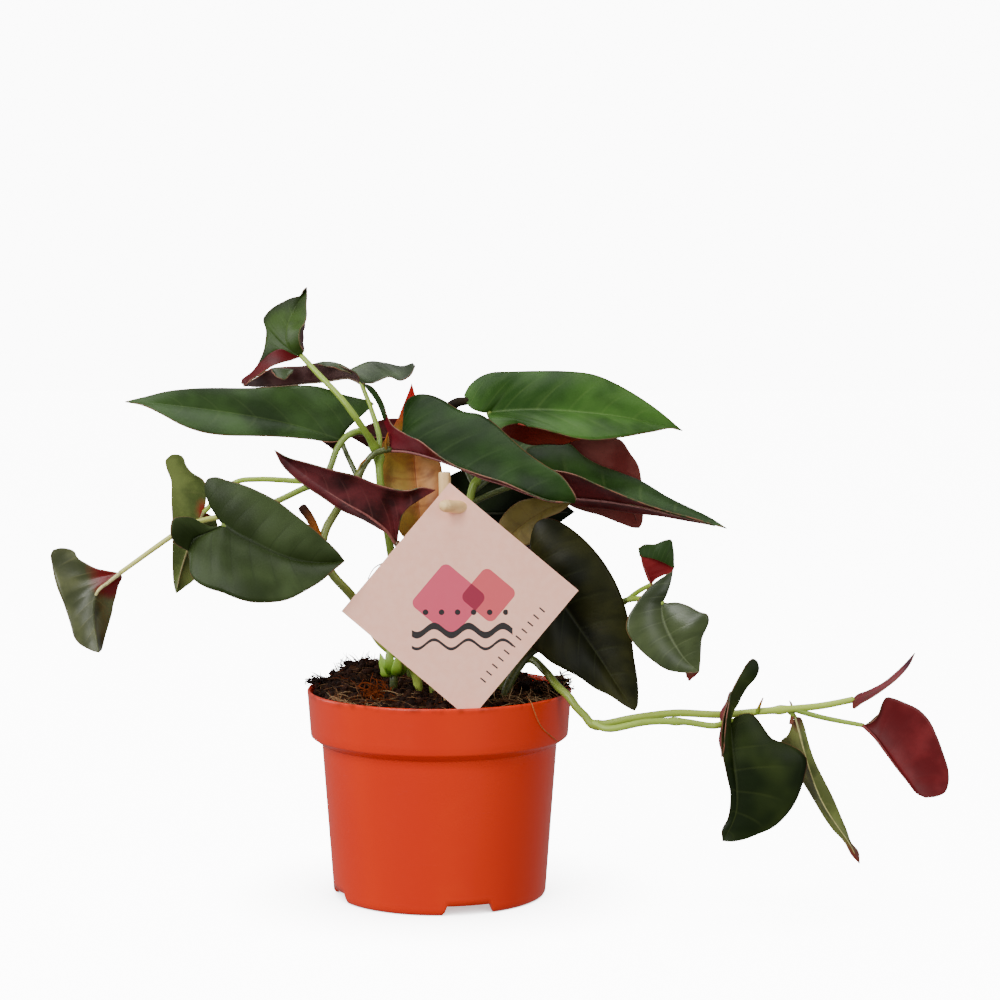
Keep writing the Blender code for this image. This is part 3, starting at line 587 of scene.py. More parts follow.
@dataclass(frozen=True)
class LeafSkin:
    """A leaf's finish: the top side, the underside, the margin and the midrib below."""

    top: Colour
    top_light: Colour
    under: Colour
    under_light: Colour
    rib: Colour
    vein: Colour = 0x6E804A
    vein_share: float = 0.12     # how far the veins on top take their own colour
    streak: Colour = 0x182408
    streak_share: float = 0.25
    margin: Colour = 0x80503C
    blush: Colour = 0x68080C
    blush_reach: float = 0.0     # millimetres from the petiole
    gloss: float = 0.44          # roughness
    shine: float = 0.16
    under_vein: float = 0.06     # how far the veins below take the midrib's colour
    tip: Colour | None = None    # a colour that the last part takes
    left_tint: Colour | None = None    # a colour that the left half leans to

    def streaks(self, nodes: Nodes, along: Value, across: Value) -> Value:
        """Soft streaks: noise that is drawn out along lines beside the veins.

        Args:
            nodes: The material's nodes.
            along: The share along the blade.
            across: The share from midrib to margin, signed by its side.

        Returns:
            1 on a streak, 0 off it.
        """
        bent = along - abs(across) * abs(across) * VEIN_LEAN
        spot = nodes.add("ShaderNodeCombineXYZ", inputs={0: bent * 0.1, 1: across * 0.008})
        return nodes.noise(5.5, 2, spot.outputs[0]).ramp(0.42, 0.68)

    def top_material(self, name: str) -> bpy.types.Material:
        """The top side: green with soft streaks, faint veins and a thin pale margin.

        Args:
            name: The skin's name.

        Returns:
            The material.
        """
        nodes = Nodes(f"leaf_{name}_top")
        along, across = nodes.uv("vein")
        _, edge = nodes.uv("span")
        broad = nodes.noise(24, 2)
        lines = vein_lines(nodes, along, across)
        colour = nodes.mix(broad.ramp(0.36, 0.66), self.top, self.top_light)
        if self.left_tint:
            colour = nodes.mix(across.ramp(-0.1, 0.4) * 0.6, colour, self.left_tint)
        streaks = self.streaks(nodes, along, across)
        colour = nodes.mix(streaks * self.streak_share, colour, self.streak)
        colour = nodes.mix(lines * self.vein_share, colour, self.vein)
        midrib = abs(across).ramp(0.045, 0.01) * (self.vein_share * 1.7)
        colour = nodes.mix(midrib, colour, self.vein)
        colour = nodes.mix(nodes.noise(0.7, 2).ramp(0.55, 0.8) * 0.1, colour, self.top_light)
        colour = nodes.mix(edge.ramp(*LEAF_EDGE) * 0.5, colour, self.margin)
        if self.tip:
            colour = nodes.mix(along.ramp(0.78, 0.92), colour, self.tip)
        height = nodes.noise(0.35, 1) * 0.35 - lines * 0.5 + broad
        roughness = nodes.noise(6, 2) * 0.14 + (self.gloss - 0.07)
        return nodes.finish(colour, roughness, nodes.relief(height, 0.08, 0.5),
                            Specular_IOR_Level=self.shine)

    def under_material(self, name: str) -> bpy.types.Material:
        """The underside: a dull or glossy colour with raised veins and a blush by the petiole.

        Args:
            name: The skin's name.

        Returns:
            The material.
        """
        nodes = Nodes(f"leaf_{name}_under")
        along, across = nodes.uv("vein")
        length, edge = nodes.uv("span")
        broad = nodes.noise(15, 3)
        lines = vein_lines(nodes, along, across)
        colour = nodes.mix(broad.ramp(0.36, 0.66), self.under, self.under_light)
        colour = nodes.mix(lines * self.under_vein, colour, self.rib)
        if self.blush_reach > 0:
            near = (length + nodes.noise(7, 2) * 6).ramp(self.blush_reach + 6, self.blush_reach)
            colour = nodes.mix(near, colour, self.blush)
        colour = nodes.mix(edge.ramp(*LEAF_EDGE) * 0.45, colour, self.margin)
        if self.tip:
            colour = nodes.mix(along.ramp(0.86, 0.96), colour, self.tip)
        height = nodes.noise(0.5, 1) * 0.4 + lines * 0.35 + broad
        roughness = nodes.noise(5, 2) * 0.16 + (self.gloss - 0.06)
        return nodes.finish(colour, roughness, nodes.relief(height, 0.09, 0.55),
                            Specular_IOR_Level=self.shine)

    def margin_material(self, name: str) -> bpy.types.Material:
        """The cut edge: a thin line, mottled from the margin's colour to green.

        Args:
            name: The skin's name.

        Returns:
            The material.
        """
        nodes = Nodes(f"leaf_{name}_margin")
        mottle = nodes.noise(5, 2).ramp(0.4, 0.65)
        return nodes.finish(nodes.mix(mottle, self.margin, self.top_light), 0.5)

    def rib_material(self, name: str) -> bpy.types.Material:
        """The midrib below: a smooth cord, paler in streaks.

        Args:
            name: The skin's name.

        Returns:
            The material.
        """
        nodes = Nodes(f"leaf_{name}_rib")
        streak = nodes.noise(2, 3)
        colour = nodes.mix(streak.ramp(0.4, 0.7) * 0.5, self.rib, self.under_light)
        return nodes.finish(colour, 0.45, nodes.relief(streak, 0.06))

    def materials(self, name: str) -> list[bpy.types.Material]:
        """Returns the four slots, in the order of Slot."""
        makers = (self.top_material, self.under_material, self.margin_material, self.rib_material)
        return [make(name) for make in makers]


class Slot(IntEnum):
    """A blade's material slots."""

    TOP = 0
    UNDER = 1
    MARGIN = 2
    RIB = 3


def vein_lines(nodes: Nodes, along: Value, across: Value) -> Value:
    """Lateral veins: thin lines at even shares along the blade that lean forward and fade outwards.

    Args:
        nodes: The material's nodes.
        along: The share along the blade.
        across: The share from midrib to margin, signed by its side.

    Returns:
        1 on a vein, 0 off it.
    """
    out = abs(across)
    wave = (along - out * out * VEIN_LEAN) * (VEINS / (1 - SINUS_SHARE))
    gap = nodes.math("PINGPONG", wave, 0.5)
    line = gap.ramp(0.07, 0.015) * out.ramp(0.9, 0.4) * along.ramp(0.985, 0.9)
    return line * (nodes.noise(4, 2) * 0.6 + 0.5)


WINE_UNDER, WINE_LIGHT = 0x350606, 0x5C2628
SKINS = {
    "green": LeafSkin(0x223612, 0x385026, WINE_UNDER, WINE_LIGHT, 0x6E3C38),
    "fold": LeafSkin(0x1A240C, 0x344A1A, 0x3A0507, 0x541014, 0x642824, vein_share=0.08, gloss=0.4,
        shine=0.16),
    "flat": LeafSkin(0x1C2614, 0x40502E, 0x401E1E, 0x765856, 0x826E5A, gloss=0.38, shine=0.28),
    "lance": LeafSkin(0x1C2E0E, 0x324C1E, 0x240C0C, 0x3C1818, 0x5A362C, vein_share=0.06,
        streak_share=0.14),
    "burgundy": LeafSkin(0x1E2E12, 0x30441E, 0x2C0608, 0x68282C, 0x965A54, under_vein=0.16,
        gloss=0.32, shine=0.36),
    "back": LeafSkin(0x223214, 0x344820, 0x702E2A, 0x8A4C44, 0x6E3632),
    "heart": LeafSkin(0x222E0E, 0x364422, WINE_UNDER, WINE_LIGHT, 0x6E3C38, vein=0x121C04,
        vein_share=0.26, streak_share=0.2),
    "edge": LeafSkin(0x32421C, 0x4A5C2C, 0x3E4A20, 0x68743C, 0x968C5C, blush=0x781212,
        blush_reach=4),
    "far": LeafSkin(0x30421E, 0x465A2E, 0x363C20, 0x585C38, 0xD6CE8C, blush_reach=13, gloss=0.34,
        shine=0.34),
    "centre": LeafSkin(0x122605, 0x203A0F, 0x5E0E1A, 0x703238, 0x824642, vein=0x546A3E,
        vein_share=0.1, streak=0x465E30, streak_share=0.1, shine=0.1),
    "bright": LeafSkin(0x1C3A06, 0x385C1C, 0x7C241A, 0x8E3428, 0x784034, vein=0x6E8646,
        vein_share=0.09, streak=0x547036, streak_share=0.12),
    "keel": LeafSkin(0x1C320E, 0x324C22, 0x500E10, 0x68282A, 0x96605C, shine=0.1),
    "dark": LeafSkin(0x131505, 0x2E2E10, 0x280808, 0x3C1414, 0x503828, vein=0x424828,
        vein_share=0.14, streak=0x080903, streak_share=0.4, gloss=0.4, shine=0.12, margin=0x46281E),
    # The bronze skin's dark veins and streaks are partly its own darker veins and partly painted
    # shade, standing for the folds of its pleats.
    "bronze": LeafSkin(0xA8602C, 0xCE965C, 0x824A1E, 0xAA7036, 0xAA783C, vein=0x803C16,
        vein_share=0.35, streak=0x783A1A, streak_share=0.55, margin=0xAA603C, tip=0xBA1614,
        left_tint=0x847C2A),
    "bronze_low": LeafSkin(0x685C2C, 0x8C7A46, 0x5A4622, 0x786234, 0x967846, vein=0x543C1C,
        vein_share=0.2, streak=0x4A3A1A),
    # Painted shade: darker greens than the other skins, for a leaf deep in the foliage, where shade
    # falls.
    "shade": LeafSkin(0x101C08, 0x1E2E11, 0x121C09, 0x202C12, 0x282E18, margin=0x2C2214, shine=0.1),
    "cup": LeafSkin(0x1E360E, 0x304A1A, 0x6C0A10, 0x801C1E, 0x822C28),
    "small": LeafSkin(0x283218, 0x424E2A, 0x680C12, 0x7C2224, 0x8C463C, vein=0x8C966C,
        vein_share=0.12, gloss=0.34, shine=0.4),
    "runner": LeafSkin(0x111C04, 0x2C3812, 0x743438, 0x8C5054, 0x965A56, vein=0x748042,
        vein_share=0.06, gloss=0.42, shine=0.14),
    "pale": LeafSkin(0x30421E, 0x465A2E, 0x535B2D, 0x757F43, 0xBAB474, blush=0x6E3C28,
        blush_reach=6, tip=0x682E22),
    "slim": LeafSkin(0x5C161E, 0x743036, 0x50121A, 0x68262C, 0x824242, tip=0x3C1A28),
    "red": LeafSkin(0x283818, 0x3E5026, 0x5A040A, 0x721A1D, 0x803230, gloss=0.36, shine=0.34),
}


# Leaves


@dataclass(frozen=True)
class Half:
    """One side of a blade, from the midrib to the margin, as in the part's source."""

    width: float
    fold: float = 15.0
    widest: float = 0.25
    lobe: float = 0.2
    reach: float = 0.6
    point: float = 0.5
    lean: float = 0.0
    flare: float = 0.0


@dataclass(frozen=True)
class Seen:
    """A half blade's margin and sinus in the photograph's pixels, from the lobe's end.

    A place is (across, down), or (across, down, depth) where it leaves the plane of its half.
    """

    margin: Run
    sinus: Run = ()
    size: int = 2     # how many numbers a place has


class Face(Enum):
    """Which side of a turned-over strip the viewer sees."""

    TOP = 1
    UNDER = -1


@dataclass(frozen=True)
class Flap:
    """A turned-over strip of a blade between two seen lines of (across, down, depth)."""

    inner: Run
    outer: Run
    shows: Face = Face.UNDER


def bezier(points: list[object], share: Array) -> Array:
    """Points of a Bezier curve, by repeated mixing of its control points.

    Args:
        points: The control points.
        share: How far along each point lies.

    Returns:
        The points, one for each share.
    """
    mixed = [np.asarray(point, float) for point in points]
    share = np.asarray(share, float)[:, None]
    while len(mixed) > 1:
        mixed = [a * (1 - share) + b * share for a, b in zip(mixed, mixed[1:])]
    return mixed[0]


def half_outline(half: Half, share: Array) -> tuple[Array, Array]:
    """A half blade's flat inner and outer edges, as (lengths along, millimetres across).

    The outer edge is two cubic curves, to the widest place and on to the tip. The inner edge is
    the sinus curve to the petiole, then the midrib. A lobe below 0 means that there is none.

    Args:
        half: The half blade's sizes.
        share: Shares of the rows.

    Returns:
        The inner and the outer edge, (n, 2) each.
    """
    wide, width, back, out = half.widest, half.width, -half.lobe, half.reach * half.width
    rest = 1 - wide
    along = np.clip((share - SINUS_SHARE) / (1 - SINUS_SHARE), 0, 1)
    inner = np.stack([along, 0 * along], axis=1)
    if half.lobe < 0:
        start, lift, share = (0, 0), (back, out), along
    else:
        start, lift = (back, out), (back, out + 0.6 * (width - out))
        sinus = bezier([start, (0.9 * back, 0.12 * width), (0, 0)],
                       np.clip(share / SINUS_SHARE, 0, 1))
        inner = np.where((share < SINUS_SHARE)[:, None], sinus, inner)
    rear = bezier([start, lift, (wide - 0.55 * (wide - back), width), (wide, width)],
                  np.clip(share / REAR_SHARE, 0, 1))
    near_tip = (1 - (0.12 + 0.33 * half.point) * rest, (0.60 - 0.48 * half.point) * width)
    front = bezier([(wide, width), (wide + 0.45 * rest, width), near_tip, (1, 0)],
                   np.clip((share - REAR_SHARE) / (1 - REAR_SHARE), 0, 1))
    return inner, np.where((share < REAR_SHARE)[:, None], rear, front)


@dataclass(frozen=True)
class Leaf:
    """A blade: its midrib bows from base to tip, and its top side faces face, then face_tip.

    Where the photograph shows the blade, its lines run through the seen places, as deep as the
    same half of the part's blade lies. The others have the part's own form.
    """

    base: Place
    tip: Place
    bow: Place
    face: Place
    face_tip: Place
    left: Half
    right: Half
    skin: str = "green"
    rib: Run = ()            # the midrib in the photograph's pixels, petiole first
    seen_left: Seen | None = None
    seen_right: Seen | None = None
    flaps: tuple[Flap, ...] = ()
    arch: float = 0.06       # how far each half bulges, as a share of its width
    wave: float = 0.4        # how far the margin waves, in millimetres
    waves: float = 2.5
    pillow: float = 0.007    # how far it rises between veins, as a share of its width
    taper: float = 8.0       # how fast the bulge grows from each end
    thickness: float = 0.5
    cord: float = 0.7        # the midrib's radius below, at the petiole
    cord_least: float = 0.05    # what its radius keeps in any case
    cord_taper: float = 0.85    # how much of the rest it loses on the way to the tip
    cord_sides: int = 8
    cord_reach: float = 0.93    # how far along it can be told from the blade
    cord_rings: int = 40
    rows: int = 64
    columns: int = 14

    def frame(self, x: Array, lean: float = 0.0) -> tuple[Array, Array, Array]:
        """The midrib's point, the sideways direction and the top side's direction at each length.

        The midrib is a quadratic Bezier curve, and behind the petiole it runs straight back,
        turned by the lean.

        Args:
            x: Lengths along, 0 at the petiole and 1 at the tip.
            lean: The half's sideways lean.

        Returns:
            Points, sideways directions and top directions.
        """
        base, tip, bow = (np.array(place, float) for place in (self.base, self.tip, self.bow))
        knee = (base + tip) / 2 + bow
        ahead = np.clip(x, 0, 1)[..., None]
        line = base * (1 - ahead) ** 2 + 2 * knee * ahead * (1 - ahead) + tip * ahead ** 2
        tangent = unit((knee - base) * (1 - ahead) + (tip - knee) * ahead)
        face = np.array(self.face, float) * (1 - ahead) + np.array(self.face_tip, float) * ahead
        normal = unit(face - tangent * (face * tangent).sum(-1, keepdims=True))
        across = np.cross(normal, tangent)
        back = np.minimum(x, 0)[..., None] * np.linalg.norm(tip - base)
        return line + back * (tangent - lean * across), across, normal

    def form_edges(self, half: Half, side: int) -> tuple[Array, Array]:
        """The inner and outer edge of a half in the part's own form.

        A flat point (x, y) goes to the midrib's point at x, plus y in a direction that turns up
        by the fold.

        Args:
            half: The half blade's sizes.
            side: 1 for the left half, -1 for the right one.

        Returns:
            Two lines of (rows + 1) points.
        """
        lines = []
        for flat in half_outline(half, np.linspace(0, 1, self.rows + 1)):
            x, y = flat[:, 0], flat[:, 1]
            line, across, normal = self.frame(x, half.lean)
            lobe = np.clip(-x / max(half.lobe, 0.01), 0, 1)
            angle = np.radians(half.fold - half.flare * lobe)[:, None]
            outwards = side * across * np.cos(angle) + normal * np.sin(angle)
            lines.append(line + y[:, None] * outwards)
        return lines[0], lines[1]

    def rib_line(self) -> Array:
        """Returns the midrib's places: its seen line, as deep as the part's own midrib."""
        spots = np.reshape(self.rib, (-1, 2))
        steps = np.cumsum(np.r_[0, np.linalg.norm(np.diff(spots, axis=0), axis=1)])
        depth = self.frame(steps / steps[-1])[0][:, 1]
        return seen(spots, depth)

    def seen_edges(self, look: Seen, half: Half, side: int) -> tuple[Array, Array]:
        """The inner and outer edge of a half along the seen places.

        A place without a depth lies where its line of sight meets the plane of the half.

        Args:
            look: The seen places.
            half: The half blade's sizes.
            side: 1 for the left half, -1 for the right one.

        Returns:
            Two lines of (rows + 1) points.
        """
        share = np.linspace(0, 1, self.rows + 1)
        cloud = np.concatenate(self.form_edges(half, side))
        middle = cloud.mean(axis=0)
        normal = np.linalg.svd(cloud - middle)[2][-1]
        low, high = cloud[:, 1].min() - 3, cloud[:, 1].max() + 3

        def lift(run: Run) -> Array:
            """Takes a run of seen places to its places in space.

            Args:
                run: The seen places.

            Returns:
                The places, (n, 3).
            """
            if look.size > 2:
                return seen_run(run)
            spots = np.reshape(run, (-1, 2))
            ways = sight(spots) @ normal
            return seen(spots, np.clip((middle - EYE) @ normal / ways + EYE[1], low, high))

        rib = self.rib_line()
        front = (share - SINUS_SHARE) / (1 - SINUS_SHARE)
        ahead = follow(rib, front)
        if not look.sinus:
            return ahead, follow(np.concatenate([rib[:1], lift(look.margin), rib[-1:]]), front)
        sinus = follow(np.concatenate([lift(look.sinus), rib[:1]]), share / SINUS_SHARE)
        inner = np.where((share < SINUS_SHARE)[:, None], sinus, ahead)
        return inner, follow(np.concatenate([lift(look.margin), rib[-1:]]), share)

    def panel(self, inner: Array, outer: Array, side: int) -> Patch:
        """The surface between two lines.

        point(s, t) = inner(s) (1 - t) + outer(s) t, raised along the normal by an arch, by a
        pillow between veins, and by a wave that grows towards the margin.

        Args:
            inner: The midrib's side.
            outer: The margin.
            side: 1 where the grid's own normal is the top side, -1 where it isn't.

        Returns:
            The surface.
        """
        share = np.linspace(0, 1, len(inner))[:, None]
        t = np.linspace(0, 1, self.columns + 1)[None, :]
        points = inner[:, None] * (1 - t[..., None]) + outer[:, None] * t[..., None]
        normal = side * unit(np.cross(np.gradient(points, axis=0), np.gradient(points, axis=1)))
        width = np.linalg.norm(outer - inner, axis=1)[:, None]
        taper = np.clip(np.minimum(share, 1 - share) * self.taper, 0, 1)
        phase = (share - VEIN_LEAN * t ** 2) * VEINS / (1 - SINUS_SHARE)
        pillow = self.pillow * width * np.abs(np.sin(math.pi * phase))
        pillow = pillow * np.sin(math.pi * np.minimum(t * 1.1, 1))
        turn = math.tau * self.waves * share + side + self.base[0]
        lift = width * self.arch * 4 * t * (1 - t) + pillow + self.wave * t ** 2 * np.sin(turn)
        points = points + (lift * taper)[..., None] * normal
        start = self.rib_line()[0] if self.rib else np.array(self.base, float)
        reach = np.linalg.norm(points - start, axis=-1)
        patch = grid_patch(points, vein=np.stack([share + 0 * t, side * t + 0 * share], axis=-1),
                           span=np.stack([reach, (1 - t) * width], axis=-1))
        if side < 0:
            patch.quads = patch.quads[:, ::-1]
        return patch

    def flap_panel(self, flap: Flap) -> Patch:
        """A turned-over strip, with its faces turned so that the viewer sees the named side.

        Args:
            flap: The strip's two lines.

        Returns:
            The surface.
        """
        share = np.linspace(0, 1, self.rows // 2 + 1)
        inner, outer = (follow(seen_run(run), share) for run in (flap.inner, flap.outer))
        patch = self.panel(inner, outer, 1)
        corners = patch.points[patch.quads]
        facing = np.cross(corners[:, 2] - corners[:, 0], corners[:, 3] - corners[:, 1])[:, 1].sum()
        if facing * flap.shows.value > 0:
            patch.quads = patch.quads[:, ::-1]
        return patch

    def patches(self) -> list[Patch]:
        """Returns the two halves and the strips."""
        halves = []
        for half, look, side in ((self.left, self.seen_left, 1), (self.right, self.seen_right, -1)):
            edges = self.seen_edges(look, half, side) if look else self.form_edges(half, side)
            halves.append(self.panel(*edges, side))
        return halves + [self.flap_panel(flap) for flap in self.flaps]

    def cord_patch(self) -> Patch:
        """Returns the raised midrib below the blade, thick at the petiole and fine at the tip."""
        x = np.linspace(0, self.cord_reach, self.cord_rings)
        line, _, normal = self.frame(x)
        if self.rib:
            line = follow(self.rib_line(), x)
        radii = self.cord * (1 - self.cord_taper * x) + self.cord_least
        line = line - normal * (0.3 + 0.8 * radii[:, None])
        return sweep(line, radii, self.cord_sides, slot=Slot.RIB)

    def build(self, name: str, materials: list[bpy.types.Material]) -> bpy.types.Object:
        """Builds the blade, gives it its thickness and adds the midrib.

        Args:
            name: The piece's name.
            materials: The skin's four slots.

        Returns:
            The object.
        """
        blade = make_piece(name, self.patches(), materials, outward=False)
        wall = blade.modifiers.new("thickness", "SOLIDIFY")
        wall.thickness = self.thickness * MM
        wall.offset = 0
        wall.material_offset = Slot.UNDER
        wall.material_offset_rim = Slot.MARGIN
        cord = make_piece(name + "_cord", [self.cord_patch()], materials)
        return join(blade, cord)


def bake(piece: bpy.types.Object) -> None:
    """Puts a piece's modifiers into its mesh.

    Args:
        piece: The object.
    """
    graph = bpy.context.evaluated_depsgraph_get()
    graph.update()
    mesh = bpy.data.meshes.new_from_object(piece.evaluated_get(graph),
                                           preserve_all_data_layers=True, depsgraph=graph)
    piece.modifiers.clear()
    piece.data = mesh


def join(body: bpy.types.Object, extra: bpy.types.Object) -> bpy.types.Object:
    """Bakes the body's modifiers and adds another piece's mesh to it.

    Args:
        body: The object that stays.
        extra: The object that becomes part of it.

    Returns:
        The body.
    """
    bake(body)
    work = bmesh.new()
    work.from_mesh(body.data)
    work.from_mesh(extra.data)
    work.to_mesh(body.data)
    work.free()
    bpy.data.objects.remove(extra)
    return body


